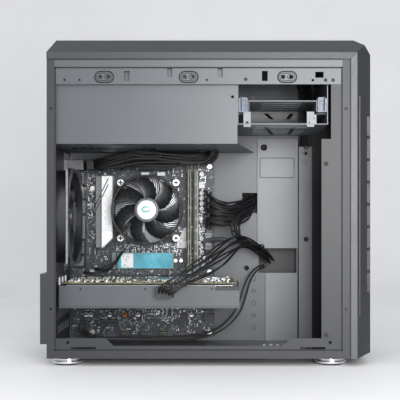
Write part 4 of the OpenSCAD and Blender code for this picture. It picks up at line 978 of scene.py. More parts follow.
class TOWER_OT_cooler(bpy.types.Operator):
    """Makes the radial fins, fan ring, arms, springs and screw marks of the processor cooler"""

    bl_idname = "tower.cooler"
    bl_label = "Processor cooler"

    def execute(self, context):
        low, high = span("cpu_heatsink")
        centre = (low + high) / 2
        front, back = low[0], high[0]
        count, r0, r1 = 84, 15.5, (high[1] - low[1]) / 2 - 0.3
        s = np.linspace(0, 1, 8)[:, None]
        side = np.array([-1, 1, 1, -1])[None] * 0.27 * (1 + 0.8 * s)
        radius = r0 + (r1 - r0) * s
        a = 0.32 * s**1.7
        z = np.where(np.array([0, 0, 1, 1])[None] > 0, -front - 0.2 - 1.5 * s**3, -back + 9 + 0 * s)
        rows = np.stack([radius * np.cos(a) - side * np.sin(a), radius * np.sin(a) + side * np.cos(a), z], -1)
        ends = [np.broadcast_to(rows[i].mean(0), (1, 4, 3)) for i in (0, -1)]
        fin = grid(np.concatenate([ends[0], rows, ends[1]]))
        place = np.array([0, centre[1], centre[2]])
        fins = spin(fin, np.arange(count) / count * TURN, "z")
        gone = np.abs(np.abs((np.arange(count) / count * 4 + 0.18) % 1 - 0.5)) < 0.055
        keep = np.repeat(~gone, len(fin[1]))
        core = turned(
            [[0, -back], [17, -back], [17, -front - 1], [15.5, -front - 0.2], [0, -front - 0.2]], 48
        )
        shape = placed(joined([(fins[0], fins[1][keep]), core]), place, "-x")
        used = np.unique(shape[1])
        order = np.zeros(len(shape[0]), int)
        order[used] = np.arange(len(used))
        shape = (shape[0][used], order[shape[1]])
        fixed("radial_fins", shape, "fins", "fin_aluminium", ["cpu_heatsink"])

        low, high = span("cpu_fan_frame")
        ring_r = 47.0
        z0, z1 = -(low[0] + 18), -low[0]
        a = np.linspace(0, TURN, 12, endpoint=False)
        lip = np.stack([ring_r - 1.2 + 1.2 * np.cos(a), z1 - 1.2 + 1.2 * np.sin(a)], 1)
        ring = [turned_loop([[ring_r, z0], [ring_r, z1 - 1], [ring_r - 2, z1 - 1], [ring_r - 2.4, z0]])]
        ring.append(turned_loop(lip))
        ring.append(arms(4, 15, ring_r - 1, z0 + 0.1, z0 + 2.4, 3.6, 0.0))
        motor = [
            [0, z0], [15.5, z0], [16.3, z0 + 0.6], [16.3, z0 + 2.5], [9, z0 + 3], [9, z0 + 10], [0, z0 + 10]
        ]
        ring.append(turned(motor, 40))
        boss_r = COOLER_SPACING / math.sqrt(2)
        deep = -high[0]
        ring.append(arms(4, ring_r - 1.5, boss_r - 2, deep, deep + 5, 6, 0.0))
        ring.append(arms(4, ring_r - 2.3, ring_r + 0.4, deep, z0 + 6, 7, 0.0))
        eye = turned_loop([[2.3, deep], [4.5, deep], [4.5, deep + 4.6], [4.1, deep + 5], [2.3, deep + 5]], 28)
        corners = TURN / 8 + np.arange(4) * TURN / 4
        places = np.stack([boss_r * np.cos(corners), boss_r * np.sin(corners), 0 * corners], 1)
        ring.append(copies(eye, places))
        shape = placed(joined(ring), place, "-x")
        fixed("cooler_ring", shape, "plastic", "black_plastic", ["cpu_fan_frame"])
        turns_count = 5
        t = np.linspace(0, turns_count * TURN, 70)
        coil = np.stack([3.3 * np.cos(t), 3.3 * np.sin(t), -BOARD_X + 2 + t / (turns_count * TURN) * 11.5], 1)
        springs = placed(copies(tubes(coil, 0.42, 6)[:2], places), place, "-x")
        fixed("cooler_springs", springs, "screw", "screw_steel")
        reach = COOLER_SPACING / 2
        head_x = span("board_screws")[0][0]
        eyes = [[head_x, centre[1] + i * reach, centre[2] + j * reach] for i in (-1, 1) for j in (-1, 1)]
        marks = set_at(cross_recess(5.0, 0.1), eyes)
        fixed("cooler_screw_marks", marks, "shadow", "screw_steel")
        return {"FINISHED"}


def turned_loop(profile, sides=72):
    """A turned ring: a closed profile carried round a full circle."""
    return turned(profile, sides, closed=True)


# ---------------------------------------------------------------- leads

# the same points as the solid leads, in millimetres
ATX_ROUTE = [
    (54, 58, 292), (55, 46, 291), (59, 34, 290), (66, 20, 288), (74, 8, 284), (80, -4, 280),
    (85, -18, 271), (87, -34, 256), (87, -46, 238), (86, -54, 220), (82, -58, 208), (72, -58, 201),
    (60, -56, 197), (46, -50, 192), (32, -40, 187), (22, -28, 184), (16, -14, 186), (20, -3, 190),
    (28, -0.5, 191), (36.7, -0.5, 191),
]
CPU_ROUTE = [
    (40, 58, 292), (40, 48, 292), (40, 36, 292), (40, 22, 292), (40, 8, 292), (40, -0.3, 289.8),
    (40, -6.3, 283.8), (40, -8.5, 275.5), (39, -6.3, 267.3), (38, -0.3, 261.2), (36, 8, 259),
    (34, 20, 258.5), (32, 34, 258.5), (30, 52, 260), (28, 72, 262), (26, 96, 262), (26, 118, 258),
    (27, 134, 254), (30, 144, 252), (35.7, 150, 251),
]
GPU_ROUTE = [
    (-82.3, 53, 89), (-88, 51, 90), (-91, 44, 94), (-88, 32, 102), (-78, 16, 112), (-62, -2, 123),
    (-42, -18, 134), (-18, -32, 143), (6, -44, 147), (28, -56, 145), (46, -68, 138), (60, -78, 130),
    (72, -84, 124), (82, -86, 122),
]
PANEL_ROUTE = [
    (80, -76, 112), (71, -75, 113), (63, -68, 111), (57, -60, 104), (51, -53, 92), (47, -48, 76),
    (43, -41, 56), (40, -27, 38), (40, -6, 25), (40, 25, 18), (40, 70, 16.5), (40, 110, 16.5),
    (40, 144, 17.5), (42, 160, 22), (44.5, 168, 28), (43.7, 170, 31.5),
]


def strands(route, count, width, thick, radius, points=90, seed=1, rows=2, sides=((0, (0, 0.6, 0.8)),)):
    """Leads side by side along a route: each keeps its place in a row across the route, the row's width,
    thickness and direction are run between their given stations, and slow sines let the leads wander."""
    rng = np.random.default_rng(seed)
    line = along(route, points)[None]
    heading = headings(line)[0]
    t = np.linspace(0, 1, points)
    stations, aims = zip(*sides)
    across = np.stack([np.interp(t, stations, [aim[i] for aim in aims]) for i in range(3)], 1)
    across -= (across * heading).sum(1, keepdims=True) * heading
    across /= np.maximum(np.linalg.norm(across, axis=1, keepdims=True), 1e-6)
    through = np.cross(heading, across)
    wide = np.interp(t, *zip(*width)) if isinstance(width, list) else np.full(points, width)
    deep = np.interp(t, *zip(*thick)) if isinstance(thick, list) else np.full(points, thick)
    order = np.arange(count)
    slot = (order // rows) / max(1, (count - 1) // rows) * 2 - 1
    row = (order % rows) / max(1, rows - 1) * 2 - 1 if rows > 1 else np.zeros(count)
    phase = rng.uniform(0, TURN, (2, count, 1))
    beat = rng.uniform(1.0, 2.6, (2, count, 1))
    ease = np.sin(math.pi * np.clip(t, 0, 1)) ** 0.5
    wander = 0.32 * ease * np.sin(beat[0] * TURN * t + phase[0])
    drift = 0.45 * ease * np.sin(beat[1] * TURN * t + phase[1])
    a = (slot[:, None] + wander) * wide / 2
    b = (row[:, None] + drift) * deep / 2
    paths = line + a[..., None] * across + b[..., None] * through
    return tubes(paths, radius, 7)


def tie(route, share, width, thick, plane=(1.0, 0.0, 0.0)):
    """Cable tie: a flat band round the leads at one station of their route."""
    line = along(route, 200)
    i = int(share * 199)
    heading = headings(line[None])[0][i]
    across = np.cross(heading, plane)
    across /= np.linalg.norm(across)
    through = np.cross(heading, across)
    a = np.arange(28) / 28 * TURN
    reach = np.cos(a)[:, None] * across * width / 2 + np.sin(a)[:, None] * through * thick / 2
    band = ((1, -1.6), (1.14, -1.6), (1.14, 1.6), (1, 1.6))
    rows = [line[i] + reach * grow + heading * step for grow, step in band]
    return grid(np.stack(rows, 0), wrap_rows=True)


class TowerLeads(bpy.types.PropertyGroup):
    """Internal leads"""

    main_count: IntProperty(
        name="Main leads", default=24, min=8, max=24, description="Wires in the board's main plug"
    )
    main_wire: FloatProperty(
        name="Main wire", default=1.25, description="Radius of one main wire in millimetres"
    )
    card_count: IntProperty(
        name="Card leads", default=8, min=6, max=12, description="Wires in the card's plug"
    )
    card_wire: FloatProperty(
        name="Card wire", default=1.15, description="Radius of one card wire in millimetres"
    )


class TOWER_OT_leads(bpy.types.Operator):
    """Makes the bundles of leads inside the case"""

    bl_idname = "tower.leads"
    bl_label = "Leads"

    def execute(self, context):
        p = context.scene.tower_leads
        lead, tape = "lead", "shadow"
        spread = [(0, 9), (0.5, 12), (0.66, 19), (0.78, 25), (0.88, 33), (0.95, 44), (1, 47)]
        shape = strands(
            ATX_ROUTE,
            p.main_count,
            spread,
            [(0, 9), (0.6, 8), (1, 5)],
            p.main_wire,
            points=120,
            seed=3,
            rows=2,
            sides=((0, (1, 0, 0)), (0.45, (1, 0, 0)), (0.6, (0, 0, 1)), (1, (0, 0, 1))),
        )
        fixed("main_harness", shape, lead, "cable", ["atx_cable"])
        shape = strands(
            CPU_ROUTE,
            14,
            [(0, 7), (0.45, 9), (0.66, 13), (0.85, 16), (1, 9)],
            [(0, 7), (0.6, 9), (1, 8)],
            1.5,
            points=110,
            seed=5,
            rows=2,
            sides=((0, (1, 0, 0)), (0.38, (1, 0, 0)), (0.55, (0, 0, 1)), (1, (0, 0, 1))),
        )
        fixed("processor_harness", shape, lead, "cable", ["cpu_cable"])
        spread = [(0, 13), (0.2, 15), (0.45, 19), (0.7, 14), (0.85, 11), (1, 8)]
        shape = strands(
            GPU_ROUTE,
            p.card_count,
            spread,
            [(0, 3), (0.5, 4), (1, 6)],
            p.card_wire,
            points=90,
            seed=7,
            rows=2,
            sides=((0, (0, 1, 0)), (0.12, (0, 1, 0.3)), (0.3, (0, 0.5, 0.85)), (1, (0, 0.5, 0.85))),
        )
        fixed("card_harness", shape, lead, "cable", ["gpu_cable"])
        shape = strands(PANEL_ROUTE, 4, [(0, 3), (0.4, 6), (0.8, 4), (1, 3)], 2.0, 0.9, points=110, seed=9)
        fixed("front_panel_leads", shape, lead, "cable", ["panel_leads"])

        x = BOARD_X
        usb = [
            (43, 1, 149), (38, -4, 150), (30, -12, 151), (22, -22, 151), (20, -32, 149), (28, -44, 147),
            (46, -60, 144), (62, -70, 138), (74, -78, 128), (84, -82, 120),
        ]
        path = along(usb, 60)
        flat = tubes(path, np.interp(np.linspace(0, 1, 60), [0, 0.1, 0.4, 1], [8, 6, 4.6, 3.4]), 14, 0.6)
        fixed("port_lead", flat, "grey_lead", "cable")
        shell = slab(rounded(-4.6, 5.4, 137, 160, 1), x - 24, x - 8, 0.6)
        collar = slab(rounded(-3.4, 4.2, 141, 156, 1.5), x - 28, x - 23.8, 0.6)
        fixed("port_plug", joined([shell, collar]), "grey_metal", "cable")
        loops = [
            [
                (74, -82, 128), (58, -70, 138), (36, -52, 146), (20, -42, 152), (14, -36, 164),
                (18, -38, 176), (30, -46, 186), (48, -56, 193), (66, -60, 200), (80, -62, 206),
            ],
            [
                (28, 146, 254), (20, 128, 261), (16, 106, 264), (20, 84, 262), (22, 60, 258), (24, 40, 256),
                (30, 20, 257), (38, 6, 262), (44, -2, 270),
            ],
            [
                (44, 118, 246), (30, 110, 249), (22, 92, 250), (20, 66, 249.5), (22, 44, 250), (28, 36, 256),
                (30, 30, 262),
            ],
            [(18, 150, 112), (8, 142, 112), (8, 130, 116), (18, 122, 122), (34, 120, 128), (58, 118, 133)],
            [(10, 164, 108), (4, 152, 107), (8, 140, 109), (22, 130, 113), (50, 128, 120)],
        ]
        radii = [2.3, 1.9, 1.9, 2.0, 1.8]
        shape = joined([tubes(along(route, 70), r, 8) for route, r in zip(loops, radii)])
        fixed("loose_leads", shape, lead, "cable")
        shape = strands(loops[0], 6, 8, 5, 1.0, points=80, seed=12)
        fixed("fan_leads", shape, lead, "cable")
        column = [
            [
                (71, -129 - i * 2.1, 300), (71, -130 - i * 2.4, 262), (70.5, -129.5 - i * 2.2, 200),
                (71, -130 - i * 2.5, 120), (71, -129 - i * 2, 60), (75, -128 - i * 2, 14),
            ]
            for i in range(4)
        ]
        shape = joined([tubes(along(route, 60), 1.25, 7) for route in column])
        fixed("front_column_leads", shape, lead, "cable")
        bay = [
            [(20, -116, 366), (0, -120, 345), (-10, -126, 325), (0, -132, 305), (30, -136, 296.5)],
            [(60, -128, 366), (52, -132, 340), (50, -136, 318), (58, -140, 300), (66, -141, 296)],
            [(64, -134, 366), (60, -137, 340), (58, -140, 315), (64, -143, 298)],
            [(68, -139, 366), (66, -141, 335), (66, -143, 310), (70, -143, 296)],
        ]
        shape = joined([tubes(along(route, 50), 1.9, 8) for route in bay])
        fixed("bay_leads", shape, lead, "cable")
        ties = [
            tie(GPU_ROUTE, 0.78, 14, 9),
            tie(CPU_ROUTE, 0.72, 17, 13),
        ]
        fixed("lead_ties", joined(ties), tape, "black_plastic")
        return {"FINISHED"}


# ---------------------------------------------------------------- motherboard


def scatter(rng, count, low, high, step):
    """Places on a rectangle, on a loose lattice so that they line up as placed parts do."""
    spot = rng.uniform(low, high, (count, 2))
    return np.round(spot / step) * step


def chips(rng, spots, x, sizes, height, up=-1.0, axis=0):
    """Small parts: a body and two bright ends each, lying along Y or Z. Returns bodies and ends."""
    count = len(spots)
    long = rng.choice(sizes, count)
    wide = long * rng.uniform(0.45, 0.62, count)
    tall = height * rng.uniform(0.6, 1.0, count)
    lie = rng.random(count) > 0.5
    half = np.where(lie[:, None], np.stack([long, wide], 1), np.stack([wide, long], 1)) / 2
    plane = [i for i in range(3) if i != axis]
    low, high = np.zeros((count, 3)), np.zeros((count, 3))
    low[:, axis], high[:, axis] = x, x + up * tall
    low[:, plane], high[:, plane] = spots - half, spots + half
    bodies = blocks(low, high, 0.08)
    ends = []
    along_axis = np.where(lie, plane[0], plane[1])
    for side in (0, 1):
        a, b = low.copy(), high.copy()
        rows = np.arange(count)
        if side:
            a[rows, along_axis] = high[rows, along_axis] - long * 0.24
            b[rows, along_axis] += 0.05
        else:
            b[rows, along_axis] = low[rows, along_axis] + long * 0.24
            a[rows, along_axis] -= 0.05
        b[:, axis] += up * 0.05
        ends.append(blocks(a, b, 0.06))
    return bodies, joined(ends)


def pin_rows(places, pins, pitch, rows, height, axis="y"):
    """Square pins in rows on the board, pointing out of the open side."""
    lows, highs = [], []
    step = np.array([0, 1, 0]) if axis == "y" else np.array([0, 0, 1])
    over = np.array([0, 0, 1]) if axis == "y" else np.array([0, 1, 0])
    for place in places:
        at = np.asarray(place, float) + step * np.arange(pins)[:, None] * pitch
        for r in range(rows):
            base = at + over * r * pitch
            lows.append(base - [height, 0.32, 0.32])
            highs.append(base + [0, 0.32, 0.32])
    return blocks(np.concatenate(lows), np.concatenate(highs), 0.1)


class TowerBoard(bpy.types.PropertyGroup):
    """Detail of the circuit boards"""

    parts: IntProperty(
        name="Small parts", default=520, min=0, max=1500, description="Placed on the motherboard"
    )
    card_parts: IntProperty(name="Card parts", default=300, min=0, max=900, description="Placed on the card")
    seed: IntProperty(name="Order", default=11, description="Which places the small parts take")


class TOWER_OT_board(bpy.types.Operator):
    """Makes the small parts, chips, headers, chokes and capacitors of the motherboard"""

    bl_idname = "tower.board"
    bl_label = "Motherboard"

    def execute(self, context):
        p = context.scene.tower_board
        rng = np.random.default_rng(p.seed)
        x = BOARD_X
        y0, z0 = BOARD_LOW[1], BOARD_LOW[2]
        y1, z1 = BOARD_HIGH[1], BOARD_HIGH[2]
        spots = scatter(rng, p.parts, [y0 + 4, z0 + 4], [y1 - 4, z1 - 4], [1.6, 1.6])
        bodies, ends = chips(rng, spots, x, [1.6, 2.2, 3.2], 1.1)
        fixed("small_parts", bodies, "part_body", "board")
        fixed("small_part_ends", ends, "solder", "screw_steel")

        dense = np.concatenate([
            scatter(rng, 90, [y1 - 34, z0 + 130], [y1 - 22, z1 - 20], [1.2, 1.2]),
            scatter(rng, 110, [y0 + 14, z0 + 96], [y0 + 22, z1 - 12], [1.2, 1.2]),
            scatter(rng, 160, [y0 + 20, z0 + 12], [y1 - 20, z0 + 46], [1.4, 1.4]),
            scatter(rng, 120, [y0 + 46, z0 + 112], [y1 - 62, z0 + 128], [1.2, 1.2]),
        ])
        bodies, ends = chips(rng, dense, x, [1.4, 1.9, 2.6], 1.3)
        fixed("packed_parts", bodies, "part_body", "board")
        fixed("packed_part_ends", ends, "solder", "screw_steel")

        # chips: height from the board's lower edge, distance from its front edge, sides
        chip_list = [
            (18, 150, 7, 7), (40, 140, 9, 9), (34, 62, 6, 10),
            (26, 104, 8, 8), (52, 172, 6, 6), (108, 10, 7, 7),
            (132, 13, 5, 5), (228, 60, 5, 8), (232, 110, 6, 6),
            (60, 20, 9, 9), (46, 118, 5, 7), (90, 176, 8, 8),
            (206, 170, 7, 7), (118, 168, 6, 9),
        ]
        lows = np.array([[x - 1.6, y0 + y - a / 2, z0 + z - b / 2] for z, y, a, b in chip_list])
        highs = np.array([[x - 0.3, y0 + y + a / 2, z0 + z + b / 2] for z, y, a, b in chip_list])
        legs_low, legs_high = [], []
        for low, high in zip(lows, highs):
            n = int((high[2] - low[2]) / 1.1)
            for i in range(n):
                z = low[2] + 0.7 + i * (high[2] - low[2] - 1.4) / max(1, n - 1)
                for side, edge in ((-1, low[1]), (1, high[1])):
                    legs_low.append([x - 0.7, edge, z - 0.25])
                    legs_high.append([x - 0.05, edge + side * 1.1, z + 0.25])
        fixed("board_chips", blocks(lows, highs, 0.15), "chip", "black_plastic")
        fixed("chip_legs", blocks(legs_low, legs_high, 0.05), "solder", "screw_steel")
        dots = [[low[0] - 0.02, high[1] - 1.2, high[2] - 1.2] for low, high in zip(lows, highs)]
        dot = placed(turned([[0, 0], [0.35, 0], [0.35, 0.05], [0, 0.05]], 10), direction="-x")
        fixed("chip_dots", copies(dot, dots), "solder", "screw_steel")

        chokes = [[y, z0 + 128 + i * 12.5] for i in range(7) for y in (y1 - 62.5,)]
        chokes += [[y1 - 98 + i * 12.5, z0 + 233] for i in range(4)]
        chokes = np.array(chokes)
        fixed(
            "chokes",
            blocks(
                np.column_stack([np.full(len(chokes), x - 5), chokes - 3.6]),
                np.column_stack([np.full(len(chokes), x), chokes + 3.6]),
                0.7,
            ),
            "choke", "black_plastic",
        )

        # capacitor cans stand on square black bases; a dark sector marks one side of each top
        cans = [
            (y1 - c, z0 + 31, 6.3, 9, "gold" if c == 73 else "silver")
            for c in (20.5, 27, 53, 73, 91.5, 164.5)
        ]
        cans += [(y0 + 17.5, z0 + z, 6.6, 8, "white") for z in (197, 190.5, 183, 176, 223, 135)]
        low, high = span("cpu_fan_rotor")
        cy, cz = (low[1] + high[1]) / 2, (low[2] + high[2]) / 2
        lows = [[x - 9, cy - 22 + i * 22, cz + 47] for i in range(2)]
        block = blocks(lows, [[x, low[1] + 11, low[2] + 5] for low in lows], 0.6)
        fixed("board_white_blocks", block, "white", "capacitor")
        square = blocks([[x - 3, y0 + 13.5, z0 + 204]], [[x, y0 + 21.5, z0 + 213]], 0.3)
        wedge = slab(
            subdivided(
                [
                    [y0 + 39, z0 + 122], [y0 + 52, z0 + 122], [y0 + 52, z0 + 128], [y0 + 42, z0 + 150],
                    [y0 + 39, z0 + 150],
                ],
                2,
            ),
            x - 2.5,
            x - 0.5,
            0.3,
        )
        fixed("board_pale_plates", joined([square, wedge]), "paper", "board")
        shapes = {"silver": [], "gold": [], "white": [], "dark": []}
        for y, z, d, h, kind in cans:
            r = d / 2
            profile = [
                [0, 0], [r, 0], [r, 1.2], [r - 0.25, 1.6], [r - 0.25, 2.1], [r, 2.5], [r, h - 0.5],
                [r - 0.5, h], [0, h],
            ]
            shapes[kind].append(placed(turned(profile, 24), (x, y, z), "-x"))
            shapes["dark"].append(
                blocks([[x - 1.2, y - r - 0.5, z - r - 0.5]], [[x, y + r + 0.5, z + r + 0.5]], 0.4)
            )
            if kind != "white":
                shapes["dark"].append(
                    blocks(
                        [[x - h - 0.04, y - r * 0.72, z - r * 0.2]],
                        [[x - h + 0.1, y + r * 0.72, z + r * 0.62]],
                        0.02,
                    )
                )
        finishes = {"silver": "solder", "gold": "orange", "white": "white", "dark": "chip"}
        for kind, parts in shapes.items():
            names = ["board_capacitors"] if kind == "silver" else []
            fixed(f"capacitors_{kind}", joined(parts), finishes[kind], "capacitor", names)

        pins = [pin_rows([[x, y0 + 14 + i * 26, z0 + 4.3]], 4, 2.54, 2, 9, "y") for i in range(5)]
        pins.append(
            pin_rows([[x, y0 + 46, z1 - 8], [x, y1 - 68, z1 - 8], [x, y1 - 28, z0 + 104]], 4, 2.0, 1, 7)
        )
        fixed("header_pins", joined(pins), "brass", "screw_steel")

        return {"FINISHED"}


class TOWER_OT_heatsink(bpy.types.Operator):
    """Makes the white power stage heatsink, its grooves and rear strip, and the chipset's plate"""

    bl_idname = "tower.heatsink"
    bl_label = "Board heatsinks"

    def execute(self, context):
        x = BOARD_X
        y1, z0, y0 = BOARD_HIGH[1], BOARD_LOW[2], BOARD_LOW[1]
        ya, yb = y1 - 58.5, y1 - 35
        za, zb = z0 + 123, z0 + 220
        step = yb - 9
        clip = 13.0
        outline = [[ya, zb], [step, zb], [step, za], [ya + clip, za], [ya, za + clip]]
        top = slab(subdivided(outline, 1.6), x - 28, x - 4, 0.9)
        strip = blocks([[x - 22, step + 0.2, za]], [[x - 3, yb, zb]], 0.6)
        base = blocks([[x - 4, ya + clip + 1, za + 2]], [[x - 1.2, yb - 1, zb - 2]], 0.4)
        coats = np.repeat([0, 1, 1], [len(top[1]), len(strip[1]), len(base[1])])
        finishes = ["white_metal", "grey_metal"]
        shape = joined([top, strip, base])
        fixed("stage_heatsink", shape, finishes, "bright_aluminium", ["board_heatsinks"], coats=coats)
        slope = 1.95
        lines = []
        for level in (zb - 21, zb - 29):
            lines.append(stroke((step - 0.4, level), (step - 9, level + 9 * slope), x - 28.15, x - 27.6, 1.3))
            lines.append(
                stroke((yb - 0.3, level - 9 * slope), (step + 0.6, level - slope), x - 22.15, x - 21.6, 1.3)
            )
        fixed("heatsink_grooves", joined(lines), "shadow", "bright_aluminium")
        low, high = span("cpu_fan_rotor")
        cy, cz = (low[1] + high[1]) / 2, (low[2] + high[2]) / 2
        rows = cy - 28 + np.arange(17) * 2.5
        fins = blocks(
            np.stack([np.full(17, x - 20), rows, np.full(17, cz + 55)], 1),
            np.stack([np.full(17, x - 6), rows + 1.1, np.full(17, cz + 66)], 1), 0.2,
        )
        foot = blocks([[x - 6.2, cy - 30, cz + 54]], [[x - 1.2, cy + 14, cz + 67]], 0.5)
        coats = np.repeat([0, 1], [len(fins[1]), len(foot[1])])
        shape = joined([fins, foot])
        metals = ["port_shell", "black_steel"]
        fixed("upper_heatsink", shape, metals, "bright_aluminium", coats=coats)
        chip_y, chip_z = (y0 + 36, y0 + 64), (z0 + 40, z0 + 66)
        plate = slab(rounded(*chip_y, *chip_z, 2), x - 9, x - 1.5, 0.5)
        ridges = blocks(
            [[x - 9.6, chip_y[0] + 4 + i * 5, chip_z[0] + 2] for i in range(5)],
            [[x - 8.8, chip_y[0] + 6 + i * 5, chip_z[1] - 2] for i in range(5)], 0.25,
        )
        fixed("chipset_plate", joined([plate, ridges]), "grey_metal", "bright_aluminium")
        return {"FINISHED"}


def stroke(start, end, x0, x1, width):
    """A straight bar between two points in Y and Z, from one depth to another: its corners lie to each
    side of the line between the points, by half the width."""
    start, end = np.asarray(start, float), np.asarray(end, float)
    step = (end - start) / np.linalg.norm(end - start)
    side = np.array([-step[1], step[0]]) * width / 2
    outline = np.array([start + side, end + side, end - side, start - side])
    return slab(subdivided(outline, width), x0, x1, 0.1)


def subdivided(outline, step):
    """An outline with extra points along its straight sides, so that it is drawn in evenly."""
    outline = np.asarray(outline, float)
    after = np.roll(outline, -1, 0)
    counts = np.maximum(1, (np.linalg.norm(after - outline, axis=1) / step).astype(int))
    share = np.concatenate([np.arange(n) / n for n in counts])[:, None]
    start, end = np.repeat(outline, counts, 0), np.repeat(after, counts, 0)
    return start + (end - start) * share


class TOWER_OT_memory(bpy.types.Operator):
    """Makes the memory slots, modules and solid state drive"""

    bl_idname = "tower.memory"
    bl_label = "Memory and drive"

    def execute(self, context):
        x = BOARD_X
        low, high = span("memory_slots")
        y0 = BOARD_LOW[1]
        rows = [y0 + 34.9, y0 + 25.9]
        za, zb = low[2] + 6, high[2] - 7.8
        bodies, modules, contacts, chips_low, chips_high = [], [], [], [], []
        for y in rows:
            for side in (-1, 1):
                bodies.append(blocks([[x - 9, y + side * 0.95, za]], [[x, y + side * 3.2, zb]], 0.3))
                bodies.append(
                    blocks([[x - 12, y + side * 3.25, zb - 4]], [[x, y + side * 4.2, high[2]]], 0.3)
                )
            bodies.append(blocks([[x - 14, y - 3.2, low[2]]], [[x, y + 3.2, za]], 0.6))
            bodies.append(blocks([[x - 3, y - 0.9, za]], [[x, y + 0.9, zb]], 0.1))
            modules.append(slab_xz(y - 0.6, y + 0.6, x - 34.4, x - 3.3, za + 2.7, zb - 0.6))
            contacts.append(blocks(
                [[x - 9.2, y - 0.8, za + 4 + i * 1.7] for i in range(76)],
                [[x - 3.2, y + 0.8, za + 4.9 + i * 1.7] for i in range(76)], 0.05,
            ))
            for i in range(8):
                for side in (-1, 1):
                    a = [x - 28, y + side * 0.6, za + 9 + i * 15.6]
                    b = [x - 16, y + side * 1.6, za + 20 + i * 15.6]
                    chips_low.append(np.minimum(a, b))
                    chips_high.append(np.maximum(a, b))
        fixed("slot_bodies", joined(bodies), "slot", "slot_plastic", ["memory_slots"])
        fixed("module_boards", joined(modules), "module", "board", ["memory_modules"])
        fixed("module_contacts", joined(contacts), "brass", "brass_part")
        fixed("module_chips", blocks(chips_low, chips_high, 0.2), "chip", "board")

        low, high = span("m2_drive")
        y0, y1 = low[1], high[1]
        z0, z1 = low[2], high[2]
        fixed(
            "drive_board",
            slab(rounded(y0, y1, z0, z1, 0.6, 3), x - 4.4, x - 3.5, 0.1),
            "module",
            "drive_label",
            ["m2_drive"],
        )
        chips_list = [(y1 - 28, y1 - 12), (y1 - 50, y1 - 34), (y1 - 72, y1 - 56)]
        lows = [[x - 5.6, a, z0 + 2] for a, b in chips_list]
        highs = [[x - 4.3, b, z1 - 2] for a, b in chips_list]
        fixed("drive_chips", blocks(lows, highs, 0.2), "chip", "drive_label")
        cover = slab(rounded(y0 + 1.5, y1 - 1.2, z0 + 0.5, z1 - 0.5, 0.8), x - 6.1, x - 5.6, 0.1)
        fixed("drive_cover", cover, "drive", "drive_label")
        label = slab(rounded(y1 - 22.5, y1 - 6, z0 + 1.5, z1 - 1.2, 0.6), x - 6.25, x - 6.05, 0.05)
        fixed("drive_paper", label, "paper", "drive_label")
        plug = blocks([[x - 6.5, y1 + 1, z0 - 0.5]], [[x, y1 + 7, z1 + 0.5]], 0.5)
        fixed("drive_socket", plug, "grey_metal", "dark_slot")
        return {"FINISHED"}


def slab_xz(y0, y1, x0, x1, z0, z1):
    """A thin upright board across Y, with cut edges."""
    return blocks([[x0, y0, z0]], [[x1, y1, z1]], 0.15)


class TOWER_OT_card(bpy.types.Operator):
    """Makes the graphics card's board parts, memory, spring plate and the seams, screws, notch and fan rims
    of its shroud
    """

    bl_idname = "tower.card"
    bl_label = "Graphics card"

    def execute(self, context):
        p = context.scene.tower_board
        rng = np.random.default_rng(p.seed + 1)
        low, high = span("gpu_board")
        top = low[2] + 1.6
        spots = scatter(rng, p.card_parts, [low[0] + 2, low[1] + 6], [BOARD_X - 14, high[1] - 4], [1.5, 1.5])
        bodies, ends = chips(rng, spots, top, [1.8, 2.6, 3.6], 1.8, 1.0, 2)
        fixed("card_parts", bodies, "card_part", "card_board")
        fixed("card_part_ends", ends, "solder", "screw_steel")
        count = 34
        edge = rng.uniform(low[1] + 8, high[1] - 6, count)
        size = rng.uniform(1.5, 4.5, count)
        lows = np.stack([np.full(count, low[0] + 0.6), edge, np.full(count, top)], 1)
        highs = [low[0] + 0.6 + size, edge + rng.uniform(1.5, 7, count), top + rng.uniform(0.8, 2.6, count)]
        highs = np.stack(highs, 1)
        fixed("card_edge_parts", blocks(lows, highs, 0.2), "card_part", "card_board")
        cans = 11
        ys = np.linspace(low[1] + 20, high[1] - 20, cans)
        caps = copies(
            turned([[0, 0], [2.6, 0], [2.6, 2.6], [2.2, 3.0], [0, 3.0]], 20),
            np.stack([np.full(cans, low[0] + 16), ys, np.full(cans, top)], 1),
        )
        fixed("card_cans", caps, "solder", "capacitor")
        rows = [[low[0] + 26 + 12 * i, y] for i in range(4) for y in (low[1] + 60, low[1] + 84, low[1] + 108)]
        lows = [[a, b, top] for a, b in rows]
        highs = [[a + 7, b + 12, top + 1.2] for a, b in rows]
        fixed("card_memory", blocks(lows, highs, 0.2), "chip", "black_plastic")
        bracket = blocks(
            [[low[0] + 30, low[1] + 66, top + 0.2]], [[low[0] + 74, low[1] + 110, top + 2.2]], 0.6
        )
        fixed("card_spring_plate", bracket, "tin", "tin")

        low, high = CARD_LOW, CARD_HIGH
        x = low[0]
        seam = [[x - 0.1, low[1] + 1, low[2] + 1.6]]
        ends = [[x + 0.1, high[1] - 1, low[2] + 2]]
        fixed("shroud_seams", blocks(seam, ends, 0.02), "shadow", "card_shroud")
        places = [[x, high[1] - y, high[2] - 4] for y in (27, 107, 190)]
        rivet_set("shroud_screws", places, 1.3, 0.6, slot="card_shroud", metal="black_steel")
        notch = blocks([[x - 0.3, low[1] + 0.4, high[2] - 6.2]], [[x + 6, low[1] + 29.6, high[2] - 0.4]], 0.5)
        fixed("shroud_vent", notch, "chip", "card_shroud")
        fan_y = [(span(n)[0][1] + span(n)[1][1]) / 2 for n in ("gpu_rotor_rear", "gpu_rotor_front")]
        fan_x = (span("gpu_rotor_rear")[0][0] + span("gpu_rotor_rear")[1][0]) / 2
        ring = turned_loop([[43.2, -0.1], [45.6, -0.1], [45.6, 0.5], [44.6, 0.9], [43.2, 0.5]], 72)
        places = [[fan_x, y, low[2]] for y in fan_y]
        rims = set_at(ring, places, "-z")
        rims = (np.maximum(rims[0], [-1e3, -1e3, low[2]]), rims[1])
        fixed("shroud_fan_rims", rims, "black_steel", "card_shroud")
        return {"FINISHED"}


# ---------------------------------------------------------------- drive bay and front


